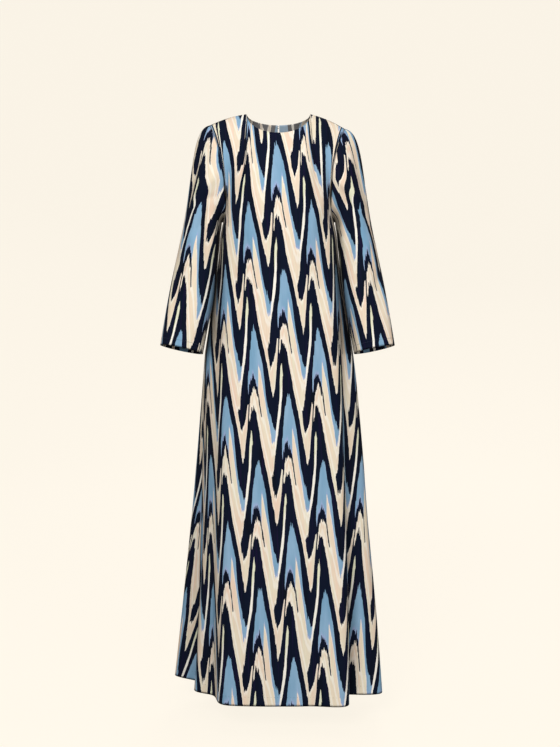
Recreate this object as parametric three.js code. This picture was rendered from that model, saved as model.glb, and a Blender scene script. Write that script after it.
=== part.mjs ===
// Abaya: a full length dress with long set-in sleeves and a round neck, worn and hollow
// Millimetres, Z up, X to the right as seen from the front, and the front faces -Y
// The origin is midway between the shoulders, at the middle of the neck opening

import * as THREE from 'three';

const vec = (x, y, z) => new THREE.Vector3(x, y, z);

// Driving sizes
const WALL = 2;
const SEAM_INSET = 0.2;
const LONGEST_MITRE = 0.6;
const HEM_Z = -1457;
const UNDERARM = vec(143, 0, -262);
const NECK_POINT = vec(82, 0, 18);
const SHOULDER_CROWN = 4;

// The two sides differ a little: end of the shoulder seam, and how far the sleeve is drawn in
const SIDES = {
  left: { sign: -1, tip: vec(177, 0, -11), drawn: 0 },
  right: { sign: 1, tip: vec(171, 0, -20), drawn: 5 },
};

// The sleeve hangs outward and forward along its axis
const FIRST_RING_Z = -330;
const CUFF_Z = -586;
const SLEEVE_AXIS = vec(0.2, -0.18, -0.96).normalize();

// Columns are shares of half a panel: the neck point lies at this share, the back neck slit
// is this wide on each side of the centre, and columns crowd towards the side seams at the hem
const NECK_SHARE = 0.56;
const SLIT_HALF_SHARE = 0.009;
const CROWDING = 0.1;

// Rows and columns of the cloth
const BODY_ROWS = 14;
const ARMHOLE_ROWS = 12;
const NECK_COLUMNS = 9;
const SHOULDER_COLUMNS = 9;
const CAP_ROWS = 7;
const SLEEVE_ROWS = 6;
const SLIT_ROWS = 5;

// Level rings of the body: half width, depth to the front and to the back, and squareness
const SECTIONS = [
  { z: -262, half: 143, front: 120, back: 98, square: 2.4 },
  { z: -295, half: 149.5, front: 120.2, back: 96.7, square: 2.38 },
  { z: -330, half: 152.8, front: 120.5, back: 95.5, square: 2.35 },
  { z: -400, half: 161.5, front: 121, back: 94, square: 2.3 },
  { z: -500, half: 177.5, front: 125, back: 100, square: 2.3 },
  { z: -620, half: 194.5, front: 132, back: 116, square: 2.3 },
  { z: -760, half: 208, front: 141, back: 132, square: 2.35 },
  { z: -950, half: 223, front: 155, back: 147, square: 2.4 },
  { z: -1200, half: 245, front: 173, back: 163, square: 2.45 },
  { z: -1457, half: 267, front: 188, back: 176, square: 2.5 },
];

// Folds that grow down to the hem: angle from the front at the underarm level and at the hem,
// the height where each begins, and its depth and half angle at the hem
const FOLDS = [
  { name: 'right front ridge', top: 61, hem: 41, from: -262, depth: 27, width: 10 },
  { name: 'right front trough', top: 76, hem: 58, from: -330, depth: -60, width: 9 },
  { name: 'right side lobe', top: 88, hem: 68, from: -420, depth: 23, width: 7 },
  { name: 'right side hollow', top: 104, hem: 99, from: -500, depth: -14, width: 12 },
  { name: 'left front ridge', top: -62, hem: -38, from: -262, depth: 7, width: 9 },
  { name: 'left front turn', top: -74, hem: -58, from: -300, depth: -52, width: 13 },
  { name: 'left side trough', top: -90, hem: -86, from: -600, depth: -64, width: 14 },
  { name: 'left side lobe', top: -100, hem: -99, from: -560, depth: 35, width: 6.5 },
  { name: 'back right ridge', top: 118, hem: 115, from: -440, depth: 19, width: 12 },
  { name: 'back right trough', top: 134, hem: 132, from: -380, depth: -27, width: 12 },
  { name: 'back middle ridge', top: 153, hem: 151, from: -340, depth: 20, width: 12 },
  { name: 'back middle trough', top: 175, hem: 172, from: -420, depth: -19, width: 12 },
  { name: 'back left ridge', top: -162, hem: -164, from: -330, depth: 21, width: 13 },
  { name: 'back left trough', top: -139, hem: -141, from: -400, depth: -25, width: 12 },
  { name: 'back side ridge', top: -119, hem: -121, from: -460, depth: 15, width: 11 },
];

// Upper front and back: how a column of cloth leaves the underarm level and reaches the top edge,
// at the centre, below the neck point and along the armhole
const PANELS = {
  front: {
    turn: 0,
    neckLow: vec(0, -70, -36),
    leave: [vec(0, 4, 82), vec(-14, -14, 92), vec(-25, -62, 32)],
    reach: [vec(0, -18, -54), vec(0, -45, -6), vec(-38, -82, -75)],
  },
  back: {
    turn: 180,
    neckLow: vec(0, 62, -5),
    leave: [vec(0, 10, 90), vec(-8, 22, 95), vec(-15, 66, 34)],
    reach: [vec(0, 30, -60), vec(0, 50, -6), vec(-22, 92, -80)],
  },
};

// How the sleeve cap leaves the armhole and comes to the first ring: at the underarm, and what
// is added towards the shoulder and where the cloth faces the front or back
const CAP = {
  out: 12,
  outHigh: 39,
  outLevel: 40,
  up: 10,
  upHigh: -20,
  upLevel: -28,
  forward: 14,
  reach: 22,
  reachHigh: 160,
};

// Sleeve axis from the upper arm to the cuff, with half width and half depth
const SLEEVE = [
  { z: FIRST_RING_Z, x: 205, y: -14, wide: 51, deep: 60 },
  { z: -434, x: 219.5, y: -32, wide: 54.5, deep: 58 },
  { z: -538, x: 237, y: -50, wide: 54.5, deep: 54 },
  { z: CUFF_Z, x: 245.5, y: -58, wide: 54.5, deep: 51 },
];

// Folds of a sleeve: turns of half a circle from the underarm seam over the front, at the top
// and at the foot of each fold, the heights between which it runs, its depth and its half width
const SLEEVE_FOLDS = [
  { name: 'front hollow', top: 0.5, foot: 0.3, from: -90, to: -430, depth: -10, width: 0.13 },
  { name: 'front ridge', top: 0.68, foot: 0.52, from: -120, to: -480, depth: 5, width: 0.14 },
  { name: 'elbow hollow', top: 0.78, foot: 0.62, from: -330, to: -640, depth: -5, width: 0.16 },
  { name: 'outer ridge', top: 1.02, foot: 0.9, from: -260, to: -700, depth: 4, width: 0.2 },
  { name: 'back hollow', top: 1.45, foot: 1.6, from: -80, to: -420, depth: -9, width: 0.14 },
  { name: 'back ridge', top: 1.3, foot: 1.36, from: -200, to: -620, depth: 5, width: 0.17 },
];

// Button and loop at the top of the back neck slit
const BUTTON = { radius: 5.5, thick: 2.6, shank: 2, lift: 2.6, side: -7.5, below: 9 };
const BUTTON_EDGE = { under: 0.6, over: 0.9, rim: 2.2, dish: 0.5 };
const BUTTON_SIDES = 20;
const LOOP = { radius: 0.8, turn: 3.3, spread: 2, reach: 8.2, opening: 100 };
const LOOP_STEPS = 28;
const CLEAR = 0.3;

// Finishes
const FINISH = {
  print: { color: 0x2c3550, roughness: 0.78, metalness: 0 },
  button: { color: 0x171b2c, roughness: 0.35, metalness: 0 },
  loop: { color: 0x1a1f31, roughness: 0.7, metalness: 0 },
};

const clamp = THREE.MathUtils.clamp;
const lerp = THREE.MathUtils.lerp;
const radians = THREE.MathUtils.degToRad;

// Smooth value of every column of a table at height z, rows running from the top down
function rowAt(rows, z) {
  const low = rows[rows.length - 1].z;
  const level = clamp(z, low, rows[0].z);
  let i = 0;
  while (i < rows.length - 2 && level < rows[i + 1].z) i += 1;
  const step = rows[i + 1].z - rows[i].z;
  const t = (level - rows[i].z) / step;
  const slope = (k, key) => {
    const a = Math.max(k - 1, 0);
    const b = Math.min(k + 1, rows.length - 1);
    return ((rows[b][key] - rows[a][key]) / (rows[b].z - rows[a].z)) * step;
  };
  const found = {};
  for (const key of Object.keys(rows[0])) {
    found[key] =
      rows[i][key] * (2 * t ** 3 - 3 * t ** 2 + 1) +
      slope(i, key) * (t ** 3 - 2 * t ** 2 + t) +
      rows[i + 1][key] * (3 * t ** 2 - 2 * t ** 3) +
      slope(i + 1, key) * (t ** 3 - t ** 2);
  }
  return found;
}

// Point of the body cloth at an angle from the front and a height
function bodyPoint(degrees, z) {
  const ring = rowAt(SECTIONS, z);
  const sine = Math.sin(radians(degrees));
  const cosine = Math.cos(radians(degrees));
  const deep = cosine >= 0 ? ring.front : ring.back;
  const sum = Math.abs(sine / ring.half) ** ring.square + Math.abs(cosine / deep) ** ring.square;
  const down = (UNDERARM.z - z) / (UNDERARM.z - HEM_Z);
  let radius = sum ** (-1 / ring.square);
  for (const fold of FOLDS) {
    const grown = Math.max(0, (fold.from - z) / (fold.from - HEM_Z));
    const middle = lerp(fold.top, fold.hem, down);
    const off = THREE.MathUtils.euclideanModulo(degrees - middle + 180, 360) - 180;
    const width = fold.width * lerp(1.25, 1, down);
    radius += fold.depth * grown * Math.exp(-((off / width) ** 2));
  }
  return vec(radius * sine, -radius * cosine, z);
}

// Point of a panel below the underarm, share running from -1 at one side seam to 1 at the other
function lowerPoint(panel, share, z) {
  const down = (UNDERARM.z - z) / (UNDERARM.z - HEM_Z);
  const size = Math.abs(share) + CROWDING * down * Math.sin(Math.PI * Math.abs(share));
  const angle = Math.abs(panel.turn - 90 * size);
  return bodyPoint(share < 0 ? -angle : angle, z);
}

// Neck edge of a panel, share running from 0 at the centre to 1 at the neck point
function neckEdge(panel, share) {
  const angle = (share * Math.PI) / 2;
  const fall = 1 - Math.cos(angle);
  return vec(
    NECK_POINT.x * Math.sin(angle),
    panel.neckLow.y * (1 - fall),
    lerp(panel.neckLow.z, NECK_POINT.z, fall),
  );
}

// Shoulder seam of a side, share running from 0 at the neck point to 1 at the shoulder tip
function shoulderEdge(side, share) {
  const point = NECK_POINT.clone().lerp(side.tip, share);
  point.z += SHOULDER_CROWN * Math.sin(Math.PI * share);
  return point;
}

// Value between three, at the centre, under the neck point and at the armhole
function acrossPanel(three, share) {
  if (share < NECK_SHARE) {
    const inner = THREE.MathUtils.smoothstep(share, 0, NECK_SHARE);
    return three[0].clone().lerp(three[1], inner);
  }
  const outer = ((share - NECK_SHARE) / (1 - NECK_SHARE)) ** 2;
  return three[1].clone().lerp(three[2], outer);
}

// Point of a panel above the underarm, rise running from 0 at its level to 1 at the top edge
function upperPoint(panel, share, rise) {
  const size = Math.abs(share);
  const side = share < 0 ? SIDES.left : SIDES.right;
  const start = size === 1 ? UNDERARM.clone() : lowerPoint(panel, size, UNDERARM.z);
  const end =
    size <= NECK_SHARE
      ? neckEdge(panel, size / NECK_SHARE)
      : shoulderEdge(side, (size - NECK_SHARE) / (1 - NECK_SHARE));
  const leave = start.clone().add(acrossPanel(panel.leave, size));
  const reach = end.clone().add(acrossPanel(panel.reach, size));
  const point = new THREE.CubicBezierCurve3(start, leave, reach, end).getPoint(rise);
  point.x *= side.sign;
  return point;
}

// Point of a sleeve ring, turn running from 0 at the underarm seam over the front to 2
function sleeveRing(side, turn, z) {
  const ring = rowAt(SLEEVE, z);
  const angle = Math.PI * turn;
  const outward = vec(-SLEEVE_AXIS.z, 0, SLEEVE_AXIS.x).normalize();
  const forward = new THREE.Vector3().crossVectors(SLEEVE_AXIS, outward).normalize();
  const drawn = side.drawn / 2;
  const point = vec(ring.x - drawn, ring.y, z)
    .addScaledVector(outward, -(ring.wide - drawn) * Math.cos(angle))
    .addScaledVector(forward, ring.deep * Math.sin(angle));
  point.x *= side.sign;
  return point;
}

// Point of the sleeve cap, out running from 0 at the armhole to 1 at the first ring
function sleeveCap(side, turn, out) {
  const start =
    turn <= 1
      ? upperPoint(PANELS.front, side.sign, turn)
      : upperPoint(PANELS.back, side.sign, 2 - turn);
  const end = sleeveRing(side, turn, FIRST_RING_Z);
  const high = Math.sin((Math.PI * turn) / 2) ** 2;
  const front = Math.sin(Math.PI * turn);
  const level = Math.abs(front);
  const outward = CAP.out + CAP.outHigh * high + CAP.outLevel * level * (1 - high);
  const upward = CAP.up + CAP.upHigh * high + CAP.upLevel * level * high;
  const axis = SLEEVE_AXIS.clone().setX(SLEEVE_AXIS.x * side.sign);
  const leave = start.clone().add(vec(outward * side.sign, -CAP.forward * front, upward));
  const reach = end.clone().addScaledVector(axis, -CAP.reach - CAP.reachHigh * high);
  return new THREE.CubicBezierCurve3(start, leave, reach, end).getPoint(out);
}

// Moves a sleeve point in or out by the sleeve's folds
function foldSleeve(side, point, turn) {
  const ring = rowAt(SLEEVE, point.z);
  const aside = vec(point.x - ring.x * side.sign, point.y - ring.y, 0).normalize();
  for (const fold of SLEEVE_FOLDS) {
    const along = (fold.from - point.z) / (fold.from - fold.to);
    if (along <= 0 || along >= 1) continue;
    const off = turn - lerp(fold.top, fold.foot, along);
    const size = fold.depth * Math.sin(Math.PI * along) ** 2;
    point.addScaledVector(aside, size * Math.exp(-((off / fold.width) ** 2)));
  }
  return point;
}

// A sheet is a grid of outer points with the cells left out and the sides that are seams
function panelSheet(panel, shares, openCell) {
  const rows = [];
  for (let j = 0; j <= BODY_ROWS; j += 1) {
    const z = lerp(HEM_Z, UNDERARM.z, j / BODY_ROWS);
    rows.push(shares.map((share) => lowerPoint(panel, share, z)));
  }
  for (let j = 1; j <= ARMHOLE_ROWS; j += 1) {
    rows.push(shares.map((share) => upperPoint(panel, share, j / ARMHOLE_ROWS)));
  }
  const onShoulder = (i) => Math.abs(shares[i]) >= NECK_SHARE - 1e-6;
  return {
    rows,
    closed: false,
    flip: panel.turn === 180,
    openCell,
    seams: { first: true, last: true, bottom: () => false, top: onShoulder },
  };
}

function sleeveSheet(side) {
  const turns = Array.from({ length: 2 * ARMHOLE_ROWS }, (_, i) => i / ARMHOLE_ROWS);
  const rows = [];
  for (let j = 0; j <= CAP_ROWS; j += 1) {
    rows.push(turns.map((turn) => foldSleeve(side, sleeveCap(side, turn, j / CAP_ROWS), turn)));
  }
  for (let j = 1; j <= SLEEVE_ROWS; j += 1) {
    const z = lerp(FIRST_RING_Z, CUFF_Z, j / SLEEVE_ROWS);
    rows.push(turns.map((turn) => foldSleeve(side, sleeveRing(side, turn, z), turn)));
  }
  return {
    rows,
    closed: true,
    flip: side.sign > 0,
    openCell: () => false,
    seams: { first: false, last: false, bottom: () => true, top: () => false },
  };
}

// Cells of a sheet as corner indices, turned so that their faces point out of the garment,
// and started so that the shorter diagonal splits each cell
function sheetCells(sheet) {
  const points = sheet.rows.flat();
  const wide = sheet.rows[0].length;
  const across = sheet.closed ? wide : wide - 1;
  const cells = [];
  for (let j = 0; j < sheet.rows.length - 1; j += 1) {
    for (let i = 0; i < across; i += 1) {
      if (sheet.openCell(i, j)) continue;
      const next = (i + 1) % wide;
      const corners = [j * wide + i, j * wide + next, (j + 1) * wide + next, (j + 1) * wide + i];
      if (sheet.flip) corners.reverse();
      const [a, b, c, d] = corners.map((index) => points[index]);
      if (b.distanceTo(d) < a.distanceTo(c)) corners.push(corners.shift());
      cells.push(corners);
    }
  }
  return cells;
}

const placeKey = (point) => point.toArray().map((value) => Math.round(value * 100)).join(' ');

// Outward direction at each point of a sheet, from the cells around it
function sheetNormals(sheet) {
  const points = sheet.rows.flat();
  const normals = points.map(() => vec(0, 0, 0));
  for (const [a, b, c, d] of sheetCells(sheet)) {
    const diagonal = points[c].clone().sub(points[a]);
    const other = points[d].clone().sub(points[b]);
    const area = diagonal.cross(other);
    for (const corner of [a, b, c, d]) normals[corner].add(area);
  }
  return normals.map((normal) => normal.normalize());
}

// Order of two places, so that both sides of a seam split its edge faces alike
function isBefore(a, b) {
  if (Math.abs(a.z - b.z) > 0.01) return a.z < b.z;
  return Math.abs(a.y - b.y) > 0.01 ? a.y < b.y : a.x < b.x;
}

// Wall of cloth between a sheet's outer points and inner points, mitred where seams meet
function clothWall(sheet, meeting) {
  const points = sheet.rows.flat();
  const normals = sheetNormals(sheet);
  const wide = sheet.rows[0].length;
  const tall = sheet.rows.length;
  const outer = [];
  const inner = [];
  points.forEach((point, index) => {
    const i = index % wide;
    const j = Math.floor(index / wide);
    const met = meeting.get(placeKey(point));
    const shared = met.count > 1;
    const normal = shared ? met.sum.clone().normalize() : normals[index];
    const mitre = shared ? clamp(met.sum.length() / met.count, LONGEST_MITRE, 1) : 1;
    const inset = vec(0, 0, 0);
    const across = [j * wide + ((i + wide - 1) % wide), j * wide + ((i + 1) % wide)];
    const along = [Math.max(j - 1, 0) * wide + i, Math.min(j + 1, tall - 1) * wide + i];
    const pull = (to, [before, after]) => {
      const seam = points[after].clone().sub(points[before]);
      seam.addScaledVector(normal, -seam.dot(normal)).normalize();
      const way = points[to].clone().sub(point);
      way.addScaledVector(normal, -way.dot(normal));
      way.addScaledVector(seam, -way.dot(seam)).normalize();
      inset.addScaledVector(way, SEAM_INSET);
    };
    if (sheet.seams.first && i === 0) pull(index + 1, along);
    if (sheet.seams.last && i === wide - 1) pull(index - 1, along);
    if (sheet.seams.bottom(i) && j === 0) pull(index + wide, across);
    if (sheet.seams.top(i) && j === tall - 1) pull(index - wide, across);
    const face = point.clone().add(inset);
    outer.push(face);
    inner.push(face.clone().addScaledVector(normal, -WALL / mitre));
  });
  const total = points.length;
  const cells = sheetCells(sheet);
  const used = new Set(cells.flat());
  const renumber = new Map([...used].map((index, place) => [index, place]));
  const count = used.size;
  const position = [];
  for (const index of used) position.push(...outer[index].toArray());
  for (const index of used) position.push(...inner[index].toArray());
  const triangles = [];
  const edges = new Set();
  for (const [a, b, c, d] of cells.map((cell) => cell.map((index) => renumber.get(index)))) {
    triangles.push(a, b, c, a, c, d);
    triangles.push(count + a, count + c, count + b, count + a, count + d, count + c);
    for (const [from, to] of [[a, b], [b, c], [c, d], [d, a]]) edges.add(from * total + to);
  }
  const order = [...used];
  for (const edge of edges) {
    const from = Math.floor(edge / total);
    const to = edge % total;
    if (edges.has(to * total + from)) continue;
    if (isBefore(points[order[from]], points[order[to]])) {
      triangles.push(from, count + from, count + to, from, count + to, to);
    } else {
      triangles.push(from, count + from, to, to, count + from, count + to);
    }
  }
  const geometry = new THREE.BufferGeometry();
  geometry.setAttribute('position', new THREE.Float32BufferAttribute(position, 3));
  geometry.setIndex(triangles);
  geometry.computeVertexNormals();
  return geometry;
}

// Sum of the outward directions of all sheets at each shared place
function meetingPlaces(sheets) {
  const places = new Map();
  for (const sheet of sheets) {
    const normals = sheetNormals(sheet);
    sheet.rows.flat().forEach((point, index) => {
      const key = placeKey(point);
      if (!places.has(key)) places.set(key, { sum: vec(0, 0, 0), count: 0 });
      const place = places.get(key);
      place.sum.add(normals[index]);
      place.count += 1;
    });
  }
  return places;
}

// Place on the upper back with its own directions: right as seen from behind, up and outward
function backFrame(x, below) {
  const share = (NECK_SHARE * Math.asin(Math.abs(x) / NECK_POINT.x)) / (Math.PI / 2);
  const centreLength = panelHeight(PANELS.back);
  const rise = 1 - below / centreLength;
  const small = 0.01;
  const signed = x < 0 ? -share : share;
  const point = upperPoint(PANELS.back, signed, rise);
  const up = upperPoint(PANELS.back, signed, rise + small).sub(point).normalize();
  const across = upperPoint(PANELS.back, signed - small, rise).sub(point);
  across.addScaledVector(up, -across.dot(up)).normalize();
  const outward = new THREE.Vector3().crossVectors(across, up).normalize();
  return new THREE.Matrix4().makeBasis(across, up, outward).setPosition(point);
}

// Length of the centre line of a panel above the underarm level
function panelHeight(panel) {
  let length = 0;
  for (let j = 0; j < ARMHOLE_ROWS; j += 1) {
    const low = upperPoint(panel, SLIT_HALF_SHARE, j / ARMHOLE_ROWS);
    length += low.distanceTo(upperPoint(panel, SLIT_HALF_SHARE, (j + 1) / ARMHOLE_ROWS));
  }
  return length;
}

// Round button on a short shank, turned about the outward direction of the cloth
function buttonGeometry() {
  const { radius, thick, shank, lift } = BUTTON;
  const { under, over, rim, dish } = BUTTON_EDGE;
  const top = lift + thick;
  const profile = [
    [0, CLEAR],
    [shank, CLEAR],
    [shank, lift],
    [radius - under, lift],
    [radius, lift + under],
    [radius, top - over],
    [radius - over, top],
    [radius - rim, top - dish],
    [0, top - dish],
  ];
  const points = profile.map(([across, height]) => new THREE.Vector2(across, height));
  return new THREE.LatheGeometry(points, BUTTON_SIDES).rotateX(Math.PI / 2);
}

// Loop of thin cord that leaves the far edge of the slit and passes round the shank
function loopGeometry() {
  const { radius, turn, spread, reach, opening } = LOOP;
  const height = CLEAR + radius;
  const bend = 6;
  const points = [vec(-reach, -spread, height), vec(-reach / 2, -turn, height)];
  for (let k = 0; k <= bend; k += 1) {
    const angle = radians(lerp(-opening, opening, k / bend));
    points.push(vec(turn * Math.cos(angle), turn * Math.sin(angle), height));
  }
  points.push(vec(-reach / 2, turn, height), vec(-reach, spread, height));
  const section = new THREE.Shape().absarc(0, 0, radius, 0, 2 * Math.PI, false);
  const extrudePath = new THREE.CatmullRomCurve3(points);
  const options = { extrudePath, steps: LOOP_STEPS, bevelEnabled: false, curveSegments: 4 };
  return new THREE.ExtrudeGeometry(section, options);
}

function namedMesh(name, geometry, finish) {
  const mesh = new THREE.Mesh(geometry, new THREE.MeshStandardMaterial(finish));
  mesh.name = name;
  return mesh;
}

// Columns of half a panel: up to the neck point, and then along the shoulder
function halfShares(first) {
  const shares = [];
  for (let i = 0; i < NECK_COLUMNS; i += 1) shares.push(lerp(first, NECK_SHARE, i / NECK_COLUMNS));
  for (let i = 0; i <= SHOULDER_COLUMNS; i += 1) {
    shares.push(lerp(NECK_SHARE, 1, i / SHOULDER_COLUMNS));
  }
  return shares;
}

const mirrored = (shares) => shares.map((share) => -share).reverse();
const frontHalf = halfShares(0);
const frontShares = [...mirrored(frontHalf.slice(1)), ...frontHalf];
const backHalf = halfShares(SLIT_HALF_SHARE);
const backShares = [...mirrored(backHalf), ...backHalf];
const slitRow = BODY_ROWS + ARMHOLE_ROWS - SLIT_ROWS;
const inSlit = (i, j) => i === backHalf.length - 1 && j >= slitRow;

const sheets = {
  front_panel: panelSheet(PANELS.front, frontShares, () => false),
  back_panel: panelSheet(PANELS.back, backShares, inSlit),
  sleeve_left: sleeveSheet(SIDES.left),
  sleeve_right: sleeveSheet(SIDES.right),
};
const meeting = meetingPlaces(Object.values(sheets));

const group = new THREE.Group();
for (const [name, sheet] of Object.entries(sheets)) {
  group.add(namedMesh(name, clothWall(sheet, meeting), FINISH.print));
}

const fastening = new THREE.Group();
fastening.applyMatrix4(backFrame(BUTTON.side, BUTTON.below));
fastening.add(namedMesh('back_button', buttonGeometry(), FINISH.button));
fastening.add(namedMesh('button_loop', loopGeometry(), FINISH.loop));
group.add(fastening);

export default group;
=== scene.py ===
"""Abaya: the cloth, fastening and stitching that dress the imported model, in metres, Z up, front facing -Y.

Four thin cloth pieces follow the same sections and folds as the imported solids, at a finer pitch. Their print
reads the coordinates of the flat cut, so that it runs down each piece and is cut off at the seams.
"""

import logging
import math
from dataclasses import dataclass, field
from enum import Enum
from typing import Any, Iterable, Sequence

import bpy
import numpy as np
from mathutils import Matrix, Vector


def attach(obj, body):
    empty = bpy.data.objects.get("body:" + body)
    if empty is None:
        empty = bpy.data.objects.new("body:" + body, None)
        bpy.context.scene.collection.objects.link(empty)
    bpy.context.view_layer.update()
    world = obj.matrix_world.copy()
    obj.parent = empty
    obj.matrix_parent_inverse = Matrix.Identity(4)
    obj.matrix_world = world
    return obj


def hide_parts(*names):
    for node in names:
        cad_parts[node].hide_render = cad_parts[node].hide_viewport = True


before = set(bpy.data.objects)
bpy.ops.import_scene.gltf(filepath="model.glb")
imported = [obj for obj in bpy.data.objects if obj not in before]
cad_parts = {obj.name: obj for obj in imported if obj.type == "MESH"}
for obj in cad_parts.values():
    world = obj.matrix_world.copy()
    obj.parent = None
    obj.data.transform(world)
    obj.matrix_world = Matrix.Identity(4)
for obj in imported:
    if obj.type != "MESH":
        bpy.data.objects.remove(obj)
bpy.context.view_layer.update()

Socket = bpy.types.NodeSocket
Tree = bpy.types.NodeTree

LOG = logging.getLogger("abaya")
MM = 0.001
ROOT = "root"

# Driving sizes in millimetres, the same as in the model's source
HEM_Z = -1457.0
UNDERARM = (143.0, 0.0, -262.0)
NECK_POINT = (82.0, 0.0, 18.0)
SHOULDER_CROWN = 4.0
FIRST_RING_Z = -330.0
CUFF_Z = -586.0
NECK_SHARE = 0.56
SLIT_HALF_SHARE = 0.009
CROWDING = 0.1
# How much wider a fold is at the underarm than at the hem
FOLD_SPREAD = 0.25
SLIT_FROM_RISE = 7 / 12

# The finished cloth and its turned edges, in millimetres
CLOTH_THICK = 0.5
TURN_GAP = 1.2
HEM_TURN = 25.0
CUFF_TURN = 20.0
# The first row inside a turned edge keeps this share of the gap, which rounds the edge
FIRST_TURN_SHARE = 0.8
# The creases fade out over this distance from a seam
CREASE_FADE = 22.0
# Pitch and length of the blind stitches at the hem and of the plain ones at the cuffs
HEM_STITCH = (8.0, 1.4)
CUFF_STITCH = (3.2, 2.2)
STITCH_BELOW_TURN = 2.5
STITCH_PROUD = 0.12
# How far the inside of the cloth fades to the unprinted colour
REVERSE_FADE = 0.35
FLOOR_BELOW_HEM = 75.0


def smooth(low: float, high: float, value: np.ndarray) -> np.ndarray:
    """Eases from 0 at low to 1 at high.

    Args:
        low: Value where the result is still 0.
        high: Value where the result reaches 1.
        value: Values to ease.

    Returns:
        The eased shares.
    """
    share = np.clip((np.asarray(value, float) - low) / (high - low), 0, 1)
    return share * share * (3 - 2 * share)


def unit(vectors: np.ndarray) -> np.ndarray:
    """Scales vectors to length 1.

    Args:
        vectors: Array whose last axis is x, y, z.

    Returns:
        The vectors at length 1.
    """
    return vectors / np.maximum(np.linalg.norm(vectors, axis=-1, keepdims=True), 1e-12)


def table_at(rows: np.ndarray, level: np.ndarray) -> np.ndarray:
    """Reads every column of a table smoothly at a height.

    Args:
        rows: Table with the height in its first column, from the top down.
        level: Heights to read it at.

    Returns:
        The table's columns at those heights, on the last axis.
    """
    heights = rows[:, 0]
    level = np.clip(np.asarray(level, float), heights[-1], heights[0])
    found = np.clip(np.searchsorted(-heights, -level, side="left") - 1, 0, len(rows) - 2)
    last = len(rows) - 1
    before = np.maximum(np.arange(len(rows)) - 1, 0)
    after = np.minimum(np.arange(len(rows)) + 1, last)
    slopes = (rows[after] - rows[before]) / (heights[after] - heights[before])[:, None]
    step = (heights[found + 1] - heights[found])[..., None]
    t = ((level - heights[found])[..., None]) / step
    return (
        rows[found] * (2 * t**3 - 3 * t**2 + 1)
        + slopes[found] * step * (t**3 - 2 * t**2 + t)
        + rows[found + 1] * (3 * t**2 - 2 * t**3)
        + slopes[found + 1] * step * (t**3 - t**2)
    )


def bezier(start: np.ndarray, leave: np.ndarray, reach: np.ndarray, end: np.ndarray,
           t: np.ndarray) -> np.ndarray:
    """Points of cubic curves.

    Args:
        start: First points.
        leave: Points that the curves leave towards.
        reach: Points that the curves come from at their ends.
        end: Last points.
        t: Shares along the curves, with a last axis of length 1.

    Returns:
        The points at those shares.
    """
    back = 1 - t
    return start * back**3 + 3 * leave * t * back**2 + 3 * reach * t**2 * back + end * t**3


class Half(Enum):
    """A panel of the body."""

    FRONT = "front"
    BACK = "back"


class Side(Enum):
    """A side of the garment, as seen from the front."""

    LEFT = -1
    RIGHT = 1


@dataclass(frozen=True)
class Rise:
    """How a column of cloth rises from the underarm level, at the centre, the neck point and the armhole."""

    turn: float
    neck_low: tuple[float, float, float]
    leave: tuple[tuple[float, float, float], ...]
    reach: tuple[tuple[float, float, float], ...]


@dataclass(frozen=True)
class Fold:
    """A fold that grows to the hem: angles at the underarm and hem, start height, depth, half angle."""

    name: str
    top: float
    hem: float
    start: float
    depth: float
    width: float


@dataclass(frozen=True)
class SleeveFold:
    """A fold of a sleeve: half turns at top and foot, the heights it runs between, depth, half width."""

    name: str
    top: float
    foot: float
    start: float
    stop: float
    depth: float
    width: float


@dataclass(frozen=True)
class Shoulder:
    """The end of the shoulder seam on one side, and how far that sleeve is drawn in, in millimetres."""

    tip: tuple[float, float, float]
    drawn: float


@dataclass(frozen=True)
class SleeveCap:
    """How the sleeve cap leaves the armhole and comes to the first level ring, in millimetres."""

    out: float = 12
    out_high: float = 39
    out_level: float = 40
    up: float = 10
    up_high: float = -20
    up_level: float = -28
    forward: float = 14
    reach: float = 22
    reach_high: float = 160


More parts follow.
